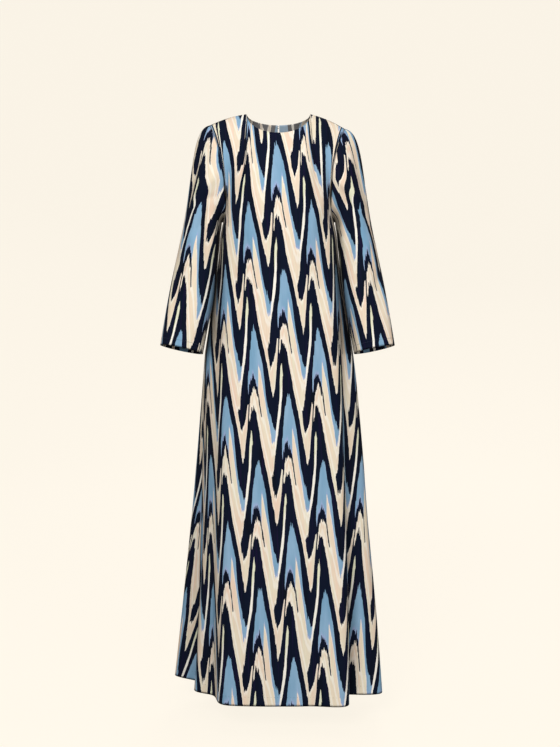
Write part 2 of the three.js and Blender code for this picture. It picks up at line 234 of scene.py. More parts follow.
@dataclass
class GarmentForm:
    """The form of the worn garment: level rings, folds and seams, in millimetres."""

    # Height, half width, depth to the front, depth to the back, squareness
    sections: np.ndarray = field(default_factory=lambda: np.array([
        (-262, 143, 120, 98, 2.4),
        (-295, 149.5, 120.2, 96.7, 2.38),
        (-330, 152.8, 120.5, 95.5, 2.35),
        (-400, 161.5, 121, 94, 2.3),
        (-500, 177.5, 125, 100, 2.3),
        (-620, 194.5, 132, 116, 2.3),
        (-760, 208, 141, 132, 2.35),
        (-950, 223, 155, 147, 2.4),
        (-1200, 245, 173, 163, 2.45),
        (-1457, 267, 188, 176, 2.5),
    ], float))
    folds: tuple[Fold, ...] = (
        Fold("right front ridge", 61, 41, -262, 27, 10),
        Fold("right front trough", 76, 58, -330, -60, 9),
        Fold("right side lobe", 88, 68, -420, 23, 7),
        Fold("right side hollow", 104, 99, -500, -14, 12),
        Fold("left front ridge", -62, -38, -262, 7, 9),
        Fold("left front turn", -74, -58, -300, -52, 13),
        Fold("left side trough", -90, -86, -600, -64, 14),
        Fold("left side lobe", -100, -99, -560, 35, 6.5),
        Fold("back right ridge", 118, 115, -440, 19, 12),
        Fold("back right trough", 134, 132, -380, -27, 12),
        Fold("back middle ridge", 153, 151, -340, 20, 12),
        Fold("back middle trough", 175, 172, -420, -19, 12),
        Fold("back left ridge", -162, -164, -330, 21, 13),
        Fold("back left trough", -139, -141, -400, -25, 12),
        Fold("back side ridge", -119, -121, -460, 15, 11),
    )
    rises: dict[Half, Rise] = field(default_factory=lambda: {
        Half.FRONT: Rise(0, (0, -70, -36), ((0, 4, 82), (-14, -14, 92), (-25, -62, 32)),
                         ((0, -18, -54), (0, -45, -6), (-38, -82, -75))),
        Half.BACK: Rise(180, (0, 62, -5), ((0, 10, 90), (-8, 22, 95), (-15, 66, 34)),
                        ((0, 30, -60), (0, 50, -6), (-22, 92, -80))),
    })
    shoulders: dict[Side, Shoulder] = field(default_factory=lambda: {
        Side.LEFT: Shoulder((177, 0, -11), 0),
        Side.RIGHT: Shoulder((171, 0, -20), 5),
    })
    cap: SleeveCap = SleeveCap()
    # Height, place of the sleeve's axis in x and y, half width and half depth
    sleeve: np.ndarray = field(default_factory=lambda: np.array([
        (-330, 205, -14, 51, 60),
        (-434, 219.5, -32, 54.5, 58),
        (-538, 237, -50, 54.5, 54),
        (-586, 245.5, -58, 54.5, 51),
    ], float))
    sleeve_axis: tuple[float, float, float] = (0.2, -0.18, -0.96)
    sleeve_folds: tuple[SleeveFold, ...] = (
        SleeveFold("front hollow", 0.5, 0.3, -90, -430, -10, 0.13),
        SleeveFold("front ridge", 0.68, 0.52, -120, -480, 5, 0.14),
        SleeveFold("elbow hollow", 0.78, 0.62, -330, -640, -5, 0.16),
        SleeveFold("outer ridge", 1.02, 0.9, -260, -700, 4, 0.2),
        SleeveFold("back hollow", 1.45, 1.6, -80, -420, -9, 0.14),
        SleeveFold("back ridge", 1.3, 1.36, -200, -620, 5, 0.17),
    )

    def ring_point(self, degrees: np.ndarray, z: np.ndarray) -> np.ndarray:
        """Points of the body cloth below the underarm.

        Args:
            degrees: Angles from the front, positive to the right.
            z: Heights, of the same shape.

        Returns:
            The points, with x, y, z on the last axis.
        """
        half, front, back, square = np.moveaxis(table_at(self.sections, z)[..., 1:], -1, 0)
        sine, cosine = np.sin(np.radians(degrees)), np.cos(np.radians(degrees))
        deep = np.where(cosine >= 0, front, back)
        radius = (np.abs(sine / half) ** square + np.abs(cosine / deep) ** square) ** (-1 / square)
        down = (UNDERARM[2] - z) / (UNDERARM[2] - HEM_Z)
        for fold in self.folds:
            grown = np.maximum(0, (fold.start - z) / (fold.start - HEM_Z))
            middle = fold.top + (fold.hem - fold.top) * down
            off = np.mod(degrees - middle + 180, 360) - 180
            width = fold.width * (1 + FOLD_SPREAD - FOLD_SPREAD * down)
            radius = radius + fold.depth * grown * np.exp(-((off / width) ** 2))
        return np.stack([radius * sine, -radius * cosine, z], -1)

    def lower(self, half: Half, share: np.ndarray, z: np.ndarray) -> np.ndarray:
        """Points of a panel below the underarm.

        Args:
            half: The panel.
            share: Places from -1 at the left side seam to 1 at the right.
            z: Heights, of the same shape.

        Returns:
            The points.
        """
        down = (UNDERARM[2] - z) / (UNDERARM[2] - HEM_Z)
        size = np.abs(share) + CROWDING * down * np.sin(np.pi * np.abs(share))
        angle = np.abs(self.rises[half].turn - 90 * size)
        return self.ring_point(np.where(share < 0, -angle, angle), z)

    def top_edge(self, half: Half, size: np.ndarray, side: Side) -> np.ndarray:
        """Points of the neck edge and of the shoulder seam of half a panel.

        Args:
            half: The panel.
            size: Places from 0 at the centre to 1 at the shoulder tip.
            side: The side that the shoulder is on.

        Returns:
            The points, with x still positive.
        """
        low = self.rises[half].neck_low
        angle = np.clip(size / NECK_SHARE, 0, 1) * np.pi / 2
        fall = 1 - np.cos(angle)
        neck = np.stack([
            NECK_POINT[0] * np.sin(angle),
            low[1] * (1 - fall),
            low[2] + (NECK_POINT[2] - low[2]) * fall,
        ], -1)
        along = np.clip((size - NECK_SHARE) / (1 - NECK_SHARE), 0, 1)[..., None]
        tip = np.array(self.shoulders[side].tip)
        shoulder = np.array(NECK_POINT) * (1 - along) + tip * along
        shoulder[..., 2] += SHOULDER_CROWN * np.sin(np.pi * along[..., 0])
        return np.where((size <= NECK_SHARE)[..., None], neck, shoulder)

    @staticmethod
    def across(three: Sequence[Sequence[float]], size: np.ndarray) -> np.ndarray:
        """Blends between three values across half a panel.

        Args:
            three: Values at the centre, under the neck point and at the armhole.
            size: Places from 0 at the centre to 1 at the armhole.

        Returns:
            The blended values.
        """
        centre, middle, outer = (np.array(value, float) for value in three)
        inner_share = smooth(0, NECK_SHARE, size)[..., None]
        outer_share = (np.clip((size - NECK_SHARE) / (1 - NECK_SHARE), 0, 1) ** 2)[..., None]
        inside = centre * (1 - inner_share) + middle * inner_share
        outside = middle * (1 - outer_share) + outer * outer_share
        return np.where((size < NECK_SHARE)[..., None], inside, outside)

    def upper(self, half: Half, share: np.ndarray, rise: np.ndarray) -> np.ndarray:
        """Points of a panel above the underarm.

        Args:
            half: The panel.
            share: Places from -1 at the left side seam to 1 at the right.
            rise: Places from 0 at the underarm level to 1 at the top edge, of the same shape.

        Returns:
            The points.
        """
        size = np.abs(share)
        start = self.lower(half, size, np.full_like(size, UNDERARM[2]))
        left, right = (self.top_edge(half, size, side) for side in (Side.LEFT, Side.RIGHT))
        end = np.where((share < 0)[..., None], left, right)
        leave = start + self.across(self.rises[half].leave, size)
        reach = end + self.across(self.rises[half].reach, size)
        point = bezier(start, leave, reach, end, np.asarray(rise, float)[..., None])
        point[..., 0] *= np.where(share < 0, -1, 1)
        return point

    def sleeve_ring(self, side: Side, turn: np.ndarray, z: np.ndarray) -> np.ndarray:
        """Points of a sleeve below its cap.

        Args:
            side: The side that the sleeve is on.
            turn: Half turns from the underarm seam over the front, from 0 to 2.
            z: Heights of the axis, of the same shape.

        Returns:
            The points.
        """
        _, x, y, wide, deep = np.moveaxis(table_at(self.sleeve, z), -1, 0)
        axis = unit(np.array(self.sleeve_axis))
        outward = unit(np.array([-axis[2], 0, axis[0]]))
        forward = unit(np.cross(axis, outward))
        drawn = self.shoulders[side].drawn / 2
        angle = np.pi * turn
        point = np.stack([x - drawn, y, z], -1)
        point = point - outward * ((wide - drawn) * np.cos(angle))[..., None]
        point = point + forward * (deep * np.sin(angle))[..., None]
        point[..., 0] *= side.value
        return point

    def sleeve_cap(self, side: Side, turn: np.ndarray, out: np.ndarray) -> np.ndarray:
        """Points of a sleeve cap.

        Args:
            side: The side that the sleeve is on.
            turn: Half turns from the underarm seam over the front, from 0 to 2.
            out: Places from 0 at the armhole to 1 at the first ring, of the same shape.

        Returns:
            The points.
        """
        edge = np.full_like(turn, side.value, dtype=float)
        front = self.upper(Half.FRONT, edge, np.clip(turn, 0, 1))
        back = self.upper(Half.BACK, edge, np.clip(2 - turn, 0, 1))
        start = np.where((turn <= 1)[..., None], front, back)
        end = self.sleeve_ring(side, turn, np.full_like(turn, FIRST_RING_Z))
        cap = self.cap
        high = np.sin(np.pi * turn / 2) ** 2
        facing = np.sin(np.pi * turn)
        level = np.abs(facing)
        outward = cap.out + cap.out_high * high + cap.out_level * level * (1 - high)
        upward = cap.up + cap.up_high * high + cap.up_level * level * high
        axis = unit(np.array(self.sleeve_axis)) * (side.value, 1, 1)
        leave = start + np.stack([outward * side.value, -cap.forward * facing, upward], -1)
        reach = end - axis * (cap.reach + cap.reach_high * high)[..., None]
        return bezier(start, leave, reach, end, np.asarray(out, float)[..., None])

    def fold_sleeve(self, side: Side, point: np.ndarray, turn: np.ndarray) -> np.ndarray:
        """Moves sleeve points in or out by the sleeve's folds.

        Args:
            side: The side that the sleeve is on.
            point: The points.
            turn: Their half turns.

        Returns:
            The moved points.
        """
        _, x, y, _, _ = np.moveaxis(table_at(self.sleeve, point[..., 2]), -1, 0)
        aside = unit(np.stack([point[..., 0] - x * side.value, point[..., 1] - y, np.zeros_like(x)], -1))
        moved = np.zeros(point.shape[:-1])
        for fold in self.sleeve_folds:
            along = np.clip((fold.start - point[..., 2]) / (fold.start - fold.stop), 0, 1)
            off = turn - (fold.top + (fold.foot - fold.top) * along)
            moved += fold.depth * np.sin(np.pi * along) ** 2 * np.exp(-((off / fold.width) ** 2))
        return point + aside * moved[..., None]


@dataclass(frozen=True)
class Crease:
    """A soft trough or ridge on the flat cut, from one place to another, in millimetres."""

    start: tuple[float, float]
    stop: tuple[float, float]
    depth: float
    width: float
    bow: float = 0.0

    def lift(self, across: np.ndarray, along: np.ndarray) -> np.ndarray:
        """How far the crease moves the cloth outward.

        Args:
            across: Places on the cut across the cloth.
            along: Places on the cut down the cloth.

        Returns:
            The moves in millimetres.
        """
        run = np.array(self.stop, float) - np.array(self.start, float)
        length = math.hypot(*run)
        way = run / length
        du, dv = across - self.start[0], along - self.start[1]
        t = (du * way[0] + dv * way[1]) / length
        inside = np.clip(t, 0, 1)
        beyond = (t - inside) * length
        aside = -du * way[1] + dv * way[0] - self.bow * 4 * inside * (1 - inside)
        far = np.hypot(aside, beyond * 0.6)
        return self.depth * (0.25 + 0.75 * np.sin(np.pi * inside)) * np.exp(-((far / self.width) ** 2))


def arc(points: np.ndarray, axis: int) -> np.ndarray:
    """Lengths along the lines of a grid.

    Args:
        points: Grid of points.
        axis: 0 for lengths down the columns, 1 for lengths along the rows.

    Returns:
        The length from the first point of each line.
    """
    steps = np.linalg.norm(np.diff(points, axis=axis), axis=-1)
    pad = np.zeros_like(np.take(steps, [0], axis=axis))
    return np.concatenate([pad, np.cumsum(steps, axis=axis)], axis=axis)


@dataclass
class Cut:
    """A cloth piece as a grid: rows from the top down, columns to the right as seen from outside."""

    points: np.ndarray
    across: np.ndarray
    along: np.ndarray
    seam: np.ndarray
    gap_cells: np.ndarray
    turn: float
    turn_rows: int = 5

    @property
    def normals(self) -> np.ndarray:
        """Outward directions at the grid's points."""
        down = np.gradient(self.points, axis=0)
        right = np.gradient(self.points, axis=1)
        return unit(np.cross(down, right))

    def size(self) -> tuple[float, float, float]:
        """Width, length and area of the flat cut.

        Returns:
            The width and length in metres, and the area in square metres.
        """
        u, v = self.across, self.along
        right, down = (u[:-1, 1:] - u[:-1, :-1]), (v[1:, :-1] - v[:-1, :-1])
        skew = (u[1:, :-1] - u[:-1, :-1]) * (v[:-1, 1:] - v[:-1, :-1])
        cells = np.abs(right * down - skew)
        area = float(cells[~self.gap_cells].sum()) * MM * MM
        return float(np.ptp(u)) * MM, float(np.ptp(v)) * MM, area

    def turn_up(self) -> None:
        """Turns the bottom edge up inside the garment, over the depth of its hem."""
        run = arc(self.points[::-1], 0)
        both = np.concatenate([self.points, self.normals], -1)[::-1]
        heights = self.turn * (np.arange(1, self.turn_rows + 1) - 0.5) / (self.turn_rows - 0.5)
        for step, height in enumerate(heights):
            columns = range(self.points.shape[1])
            row = np.array([[np.interp(height, run[:, c], both[:, c, k]) for k in range(6)] for c in columns])
            inside = row[:, :3] - unit(row[:, 3:]) * TURN_GAP * (1 if step else FIRST_TURN_SHARE)
            self.points = np.concatenate([self.points, inside[None]])
            self.along = np.concatenate([self.along, self.along[-1:] + heights[0] * (1 if step == 0 else 2)])
        for name in ("across", "seam"):
            grid = getattr(self, name)
            setattr(self, name, np.concatenate([grid, np.repeat(grid[-1:], self.turn_rows, 0)]))
        closed = np.zeros((self.turn_rows, self.points.shape[1] - 1), bool)
        self.gap_cells = np.concatenate([self.gap_cells, closed])


def flatten(points: np.ndarray, level_row: int, middle: float,
            down: np.ndarray) -> tuple[np.ndarray, np.ndarray]:
    """Works out the flat cut's coordinates of a grid of cloth.

    Args:
        points: Grid of points, rows from the top down.
        level_row: Row where the grain across the cloth is level.
        middle: Column, as a fraction, of the straight grain.
        down: The direction of the straight grain at each row.

    Returns:
        Places across and down the cut, in millimetres.
    """
    rows, columns, _ = points.shape
    place = np.arange(columns)
    run = arc(points, 1)
    centred = np.array([line - np.interp(middle, place, line) for line in run])
    across = centred.copy()
    along = np.zeros((rows, columns))
    for row in range(level_row + 1, rows):
        step = np.linalg.norm(points[row] - points[row - 1], axis=-1)
        aside = across[row] - across[row - 1]
        along[row] = along[row - 1] + np.sqrt(np.maximum(step**2 - aside**2, (0.5 * step) ** 2))
    normals = unit(np.cross(np.gradient(points, axis=0), np.gradient(points, axis=1)))
    for row in range(level_row - 1, -1, -1):
        right = unit(np.cross(normals[row], down[row]))
        below = unit(np.cross(right, normals[row]))
        step = points[row] - points[row + 1]
        across[row] = across[row + 1] + (step * right).sum(-1)
        along[row] = along[row + 1] + (step * below).sum(-1)
    top = np.interp(middle, place, along[0])
    return across, along - top


@dataclass(frozen=True)
class PrintPlace:
    """Where the print lies on a cut: the shift across and down to the repeat's own zero, in millimetres."""

    across: float
    down: float
    drift: float = 0.0
    bend: float = 0.0


def srgb(text: str) -> tuple[float, float, float, float]:
    """Turns an sRGB hex value to linear colour.

    Args:
        text: The colour, such as "#14182b".

    Returns:
        Linear red, green, blue and an alpha of 1.
    """
    parts = [int(text[i:i + 2], 16) / 255 for i in (1, 3, 5)]
    linear = [p / 12.92 if p <= 0.04045 else ((p + 0.055) / 1.055) ** 2.4 for p in parts]
    return (*linear, 1.0)


def add_node(tree: Tree, kind: str, inputs: Any = (), **settings: Any) -> bpy.types.Node:
    """Adds a node with its settings and links.

    Args:
        tree: The tree to add it to.
        kind: Blender's name of the node type.
        inputs: Values or sockets to link, in order or by input name.
        **settings: Properties of the node.

    Returns:
        The new node.
    """
    node = tree.nodes.new(kind)
    for name, value in settings.items():
        setattr(node, name, value)
    pairs: Iterable[tuple[Any, Any]] = inputs.items() if isinstance(inputs, dict) else enumerate(inputs)
    for key, value in pairs:
        if isinstance(value, Socket):
            tree.links.new(value, node.inputs[key])
        elif value is not None:
            node.inputs[key].default_value = value
    return node


def new_material(name: str) -> tuple[bpy.types.Material, Tree]:
    """Makes an empty material.

    Args:
        name: Its name.

    Returns:
        The material and its empty tree.
    """
    material = bpy.data.materials.new(name)
    material.use_nodes = True
    material.node_tree.nodes.clear()
    return material, material.node_tree


class Dye(Enum):
    """A colour of the print, with the number that the shader carries for it."""

    NAVY = 0
    BLUE = 1
    CREAM = 2
    PALE = 3
    WHITE = 4


@dataclass(frozen=True)
class BandEdge:
    """Where a colour starts: millimetres down the cloth from the blue peak, at each station."""

    name: str
    dye: Dye
    heights: tuple[float, ...]


# Edges of the zigzag in round millimetres, at the chart's stations from left to right. Negative is above the
# blue peak. Edges that run together for a stretch take it from one another.
MAIN_EDGE = (
    7, -10, -48, -64, -84, -106, -140, -97, -108, -128, -131, -132, -128,
    -112, -75, -52, -30, -13, 18, 64, 105, 114, 127, 147, 172,
)
PAST_LINE = (
    160, 126, 98, 86, 74, 62, 44, 36, 8, -34, -50, -60, -60,
    -60, -30, -15, 0, 15, 45, 120, 160, 165, 180, 200, 220,
)
BESIDE_LEG = MAIN_EDGE[:10] + (
    -167, -175, -183, -177, -150, -246, -232, -218, -178, -110, -66, -54, -41, -35, -40,
)
UNDER_ARCH = MAIN_EDGE[:7] + (-110, -135, -158) + BESIDE_LEG[10:15] + (
    -127, -104, -104, -90, -50, -24, -20, -16, -14, -10,
)
ARCH = (
    -150, -180, -190, -200, -215, -230, -180, -165, -188, -199, -206, -211, -215, -205, -180, -157, -126,
) + UNDER_ARCH[17:]
BELOW_DROP = MAIN_EDGE[:11] + (-135, -150, -130, -100, -80, -60, -48, -20, 20, 48, 66, 82, 92, 91)
DROP = BELOW_DROP[:21] + (42, 36, 30, -5)
THIN_STREAK = (-74, -84, -102, -116, -128, -140) + MAIN_EDGE[6:]
LINE = (132, 93, 58, 42, 28, 15, -2, -10, -20) + PAST_LINE[9:]
LEAF = LINE[:6] + (-30, -42, -66, -76) + PAST_LINE[10:]
BLUE_SPIKE = ARCH[:7] + (
    -210, -227, -260, -275, -297, -318, -330, -318, -300, -283, -271, -243, -145, -106, -101, -94, -86, -68,
)
BESIDE_VALLEY = (97,) + LINE[1:]


@dataclass(frozen=True)
class IkatChart:
    """The zigzag repeat, charted in round millimetres.

    A column is a pitch wide and runs from one valley to the next. Its blue peak stands at station 1. The
    next column to the right hangs half a repeat lower. Where an edge shows nothing it lies on one that comes
    before it in the list, or within a band of its own colour.
    """

    pitch: float = 83.0
    repeat: float = 330.0
    drop: float = 165.0
    # The printed repeat comes out a little smaller than the chart, 80 by 320 mm to a column
    scale: float = 0.97
    # The heights that a curve can hold, from the lowest value
    curve_low: float = -350.0
    curve_span: float = 700.0
    stations: tuple[float, ...] = (
        -38, -33, -28, -26, -24, -22, -19.5, -18.5, -16, -13, -11, -8, -4,
        1, 6, 9, 12, 14.5, 20, 28, 34.5, 36, 38, 41, 45,
    )
    edges: tuple[BandEdge, ...] = (
        BandEdge("main navy", Dye.NAVY, MAIN_EDGE),
        BandEdge("navy past the line", Dye.NAVY, PAST_LINE),
        BandEdge("cream beside the blue leg", Dye.CREAM, BESIDE_LEG),
        BandEdge("cream under the arch", Dye.CREAM, UNDER_ARCH),
        BandEdge("arch", Dye.NAVY, ARCH),
        BandEdge("cream below the drop", Dye.CREAM, BELOW_DROP),
        BandEdge("drop", Dye.NAVY, DROP),
        BandEdge("thin streak", Dye.CREAM, THIN_STREAK),
        BandEdge("line", Dye.WHITE, LINE),
        BandEdge("leaf", Dye.PALE, LEAF),
        BandEdge("blue spike", Dye.BLUE, BLUE_SPIKE),
        BandEdge("blue beside the valley", Dye.BLUE, BESIDE_VALLEY),
    )
    # Share of the bleed at each station: full at the tips and the drop, little along the steep legs
    bleed: tuple[float, ...] = (
        0.6, 0.3, 0.25, 0.25, 0.25, 0.25, 0.3, 0.5, 0.8, 1, 1, 1, 1,
        1, 0.7, 0.5, 0.4, 0.35, 0.25, 0.25, 0.6, 0.8, 1, 1, 0.7,
    )


@dataclass(frozen=True)
class Streak:
    """Noise drawn out down the cloth: millimetres across and down, and the seed that picks it."""

    across: float
    down: float
    seed: float


@dataclass(frozen=True)
class PrintedCrepe:
    """Viscose crepe, plain woven and printed on one side.

    It is matte, with a faint sheen across its folds.
    """

    name: str = "printed_viscose_crepe"
    chart: IkatChart = IkatChart()
    navy: str = "#091327"
    navy_deep: str = "#050a12"
    navy_plum: str = "#190f33"
    blue: str = "#7ba4c2"
    blue_soft: str = "#91b3cf"
    lavender: str = "#a3aed8"
    cream: str = "#ecdfc6"
    peach: str = "#efd3bc"
    white: str = "#faf5ea"
    pale: str = "#e6e6ca"
    reverse: str = "#b9b6b2"
    roughness: float = 0.8
    ior: float = 1.45
    sheen: float = 0.02
    sheen_roughness: float = 0.45
    specular: float = 0.1
    # Real threads lie 0.35 mm apart, too fine to show, so the weave is drawn at 1.1 mm
    weave: float = 1.1
    weave_height: float = 0.25
    # The crepe's pebbles are about 2.4 mm across, given as their number in a metre
    pebbles: float = 420.0
    relief_strength: float = 0.35
    relief_depth: float = 0.00022
    # The warp bleeds thread by thread and in bundles: how far each slides the print down the cloth
    thread: Streak = Streak(2.0, 70.0, 3.1)
    thread_slide: float = 9.0
    bundle: Streak = Streak(6.0, 110.0, 7.7)
    bundle_slide: float = 8.0
    wander: Streak = Streak(90.0, 190.0, 11.3)
    wander_slide: float = 8.0
    # The columns of the print sway to the side by this much
    sway: Streak = Streak(60.0, 120.0, 17.9)
    sway_slide: float = 1.0
    # The dyes are uneven in patches, in veins and from yarn to yarn
    patch: Streak = Streak(26.0, 150.0, 23.0)
    vein: Streak = Streak(4.0, 160.0, 31.0)
    yarn: Streak = Streak(1.2, 30.0, 41.0)
    yarn_light: tuple[float, float] = (0.94, 1.04)
    # Full and no effect this far from an edge of the print, and the full share: white rim, lavender tips
    rim: tuple[float, float, float] = (5.0, 15.0, 0.6)
    tip: tuple[float, float, float] = (2.0, 14.0, 0.8)
    # A pressed seam dips over this distance, by this much, and its shadow runs from the first to the second
    seam_dip: float = 4.0
    seam_height: float = 6.0
    seam_shadow: tuple[float, float] = (0.2, 2.6)
    seam_dark: float = 0.45
    # Painted shade: the colours are darkened where the cloth lies this close to itself, in folds and under the
    # arms, in metres
    painted_shade_reach: float = 0.07
    painted_shade_open: tuple[float, float] = (0.15, 0.85)
    painted_shade_dark: float = 0.22
    painted_shade_samples: int = 6

    def build(self, reverse_share: float) -> bpy.types.Material:
        """Makes the material of one side of the cloth.

        Args:
            reverse_share: How far the colours fade to those of the unprinted side.

        Returns:
            The material.
        """
        material, tree = new_material(self.name + ("_reverse" if reverse_share > 0 else ""))
        across, along = self.cut_place(tree)
        colour = self.print_colour(tree, across, along)
        if reverse_share > 0:
            faded = add_node(tree, "ShaderNodeMix", data_type="RGBA")
            faded.inputs["Factor"].default_value = reverse_share
            tree.links.new(colour, faded.inputs["A"])
            faded.inputs["B"].default_value = srgb(self.reverse)
            colour = faded.outputs["Result"]
        self.finish(tree, colour, across, along)
        return material

    def cut_place(self, tree: Tree) -> tuple[Socket, Socket]:
        """Reads the place on the flat cut.

        Args:
            tree: The material's tree.

        Returns:
            Places across and down the cut, in millimetres.
        """
        cut = add_node(tree, "ShaderNodeUVMap", uv_map="cut")
        scaled = add_node(tree, "ShaderNodeVectorMath",
                          [cut.outputs[0], None, None, 1000.0 / self.chart.scale], operation="SCALE")
        parts = add_node(tree, "ShaderNodeSeparateXYZ", [scaled.outputs[0]])
        return parts.outputs[0], parts.outputs[1]

    @staticmethod
    def streak(tree: Tree, across: Socket, along: Socket, size: Streak) -> Socket:
        """Noise that is drawn out down the cloth.

        Args:
            tree: The material's tree.
            across: Place across the cut.
            along: Place down the cut.
            size: Size of the noise, and its seed.

        Returns:
            The noise, from about -1 to 1.
        """
        x = add_node(tree, "ShaderNodeMath", [across, size.across], operation="DIVIDE")
        y = add_node(tree, "ShaderNodeMath", [along, size.down], operation="DIVIDE")
        place = add_node(tree, "ShaderNodeCombineXYZ", [x.outputs[0], y.outputs[0], size.seed])
        noise = add_node(tree, "ShaderNodeTexNoise",
                         {"Vector": place.outputs[0], "Scale": 1.0, "Detail": 1.0, "Roughness": 0.5},
                         noise_dimensions="3D")
        spread = add_node(tree, "ShaderNodeMapRange", [noise.outputs[0], 0.25, 0.75, -1.0, 1.0], clamp=False)
        return spread.outputs[0]

    def print_colour(self, tree: Tree, across: Socket, along: Socket) -> Socket:
        """Draws the zigzag on the cloth.

        Args:
            tree: The material's tree.
            across: Place across the cut.
            along: Place down the cut.

        Returns:
            The colour of the print.
        """
        chart = self.chart
        first = chart.stations[0]
        sway = self.streak(tree, across, along, self.sway)
        swayed = add_node(tree, "ShaderNodeMath", [sway, self.sway_slide, across],
                          operation="MULTIPLY_ADD").outputs[0]
        from_valley = add_node(tree, "ShaderNodeMath", [swayed, -first], operation="ADD").outputs[0]
        columns = add_node(tree, "ShaderNodeMath", [from_valley, chart.pitch], operation="DIVIDE").outputs[0]
        column = add_node(tree, "ShaderNodeMath", [columns], operation="FLOOR").outputs[0]
        share = add_node(tree, "ShaderNodeMath", [columns, column], operation="SUBTRACT").outputs[0]
        thread = self.streak(tree, across, along, self.thread)
        bundle = self.streak(tree, across, along, self.bundle)
        wander = self.streak(tree, across, along, self.wander)
        bleed = add_node(tree, "ShaderNodeFloatCurve", {"Value": share}, label="bleed").outputs[0]
        self.draw_curve(bleed.node, chart, chart.bleed, 0.0, 1.0)
        slid = add_node(tree, "ShaderNodeMath", [thread, self.thread_slide], operation="MULTIPLY").outputs[0]
        slid = add_node(tree, "ShaderNodeMath", [bundle, self.bundle_slide, slid],
                        operation="MULTIPLY_ADD").outputs[0]
        slid = add_node(tree, "ShaderNodeMath", [slid, bleed, along], operation="MULTIPLY_ADD").outputs[0]
        slid = add_node(tree, "ShaderNodeMath", [wander, self.wander_slide, slid],
                        operation="MULTIPLY_ADD").outputs[0]
        level = add_node(tree, "ShaderNodeMath", [column, -chart.drop, slid],
                         operation="MULTIPLY_ADD").outputs[0]
        nearest: Any = chart.repeat
        ahead: Any = chart.repeat
        dye: Any = float(Dye.NAVY.value)
        low, span = chart.curve_low, chart.curve_span
        for edge in chart.edges:
            curve = add_node(tree, "ShaderNodeFloatCurve", {"Value": share}, label=edge.name)
            self.draw_curve(curve, chart, edge.heights, low, span)
            start = add_node(tree, "ShaderNodeMath", [curve.outputs[0], span, low], operation="MULTIPLY_ADD")
            past = add_node(tree, "ShaderNodeMath", [level, start.outputs[0]], operation="SUBTRACT")
            since = add_node(tree, "ShaderNodeMath", [past.outputs[0], chart.repeat],
                             operation="FLOORED_MODULO")
            until = add_node(tree, "ShaderNodeMath", [chart.repeat, since.outputs[0]], operation="SUBTRACT")
            closer = add_node(tree, "ShaderNodeMath", [since.outputs[0], nearest], operation="LESS_THAN")
            nearest = add_node(tree, "ShaderNodeMath", [since.outputs[0], nearest],
                               operation="MINIMUM").outputs[0]
            ahead = add_node(tree, "ShaderNodeMath", [until.outputs[0], ahead],
                             operation="MINIMUM").outputs[0]
            picked = add_node(tree, "ShaderNodeMix", data_type="FLOAT")
            tree.links.new(closer.outputs[0], picked.inputs[0])
            if isinstance(dye, float):
                picked.inputs[2].default_value = dye
            else:
                tree.links.new(dye, picked.inputs[2])
            picked.inputs[3].default_value = float(edge.dye.value)
            dye = picked.outputs[0]
        return self.dyed(tree, across, along, dye, nearest, ahead)

    @staticmethod
    def draw_curve(curve: bpy.types.Node, chart: IkatChart, heights: Sequence[float], low: float,
                   span: float) -> None:
        """Sets a curve node to straight runs between values at the chart's stations.

        Args:
            curve: The curve node.
            chart: The repeat.
            heights: A value for each station.
            low: Value that the curve's 0 stands for.
            span: Difference in value from the curve's 0 to its 1.
        """
        line = curve.mapping.curves[0]
        while len(line.points) < len(heights):
            line.points.new(0.5, 0.5)
        for point, u, height in zip(line.points, chart.stations, heights):
            point.location = ((u - chart.stations[0]) / chart.pitch, (height - low) / span)
            point.handle_type = "VECTOR"
        curve.mapping.use_clip = False
        curve.mapping.update()

    def dyed(self, tree: Tree, across: Socket, along: Socket, dye: Socket, since: Socket,
             until: Socket) -> Socket:
        """Colours the dyes, each uneven in its own way, with a white rim where cream meets another dye.

        Args:
            tree: The material's tree.
            across: Place across the cut.
            along: Place down the cut.
            dye: Number of the dye.
            since: Height below the edge that was passed last.
            until: Height above the next edge.

        Returns:
            The colour.
        """
        patch = self.streak(tree, across, along, self.patch)
        vein = self.streak(tree, across, along, self.vein)
        rim = add_node(tree, "ShaderNodeMath", [since, until], operation="MINIMUM").outputs[0]
        rim = add_node(tree, "ShaderNodeMapRange", [rim, *self.rim, 0.0], interpolation_type="SMOOTHSTEP")

        def blend(factor: Any, first: Any, second: Any) -> Socket:
            """Mixes two colours, each a hex value or a socket."""
            node = add_node(tree, "ShaderNodeMix", data_type="RGBA")
            values = (factor, *(srgb(c) if isinstance(c, str) else c for c in (first, second)))
            for place, value in zip((0, 6, 7), values):
                if isinstance(value, Socket):
                    tree.links.new(value, node.inputs[place])
                else:
                    node.inputs[place].default_value = value
            return node.outputs[2]

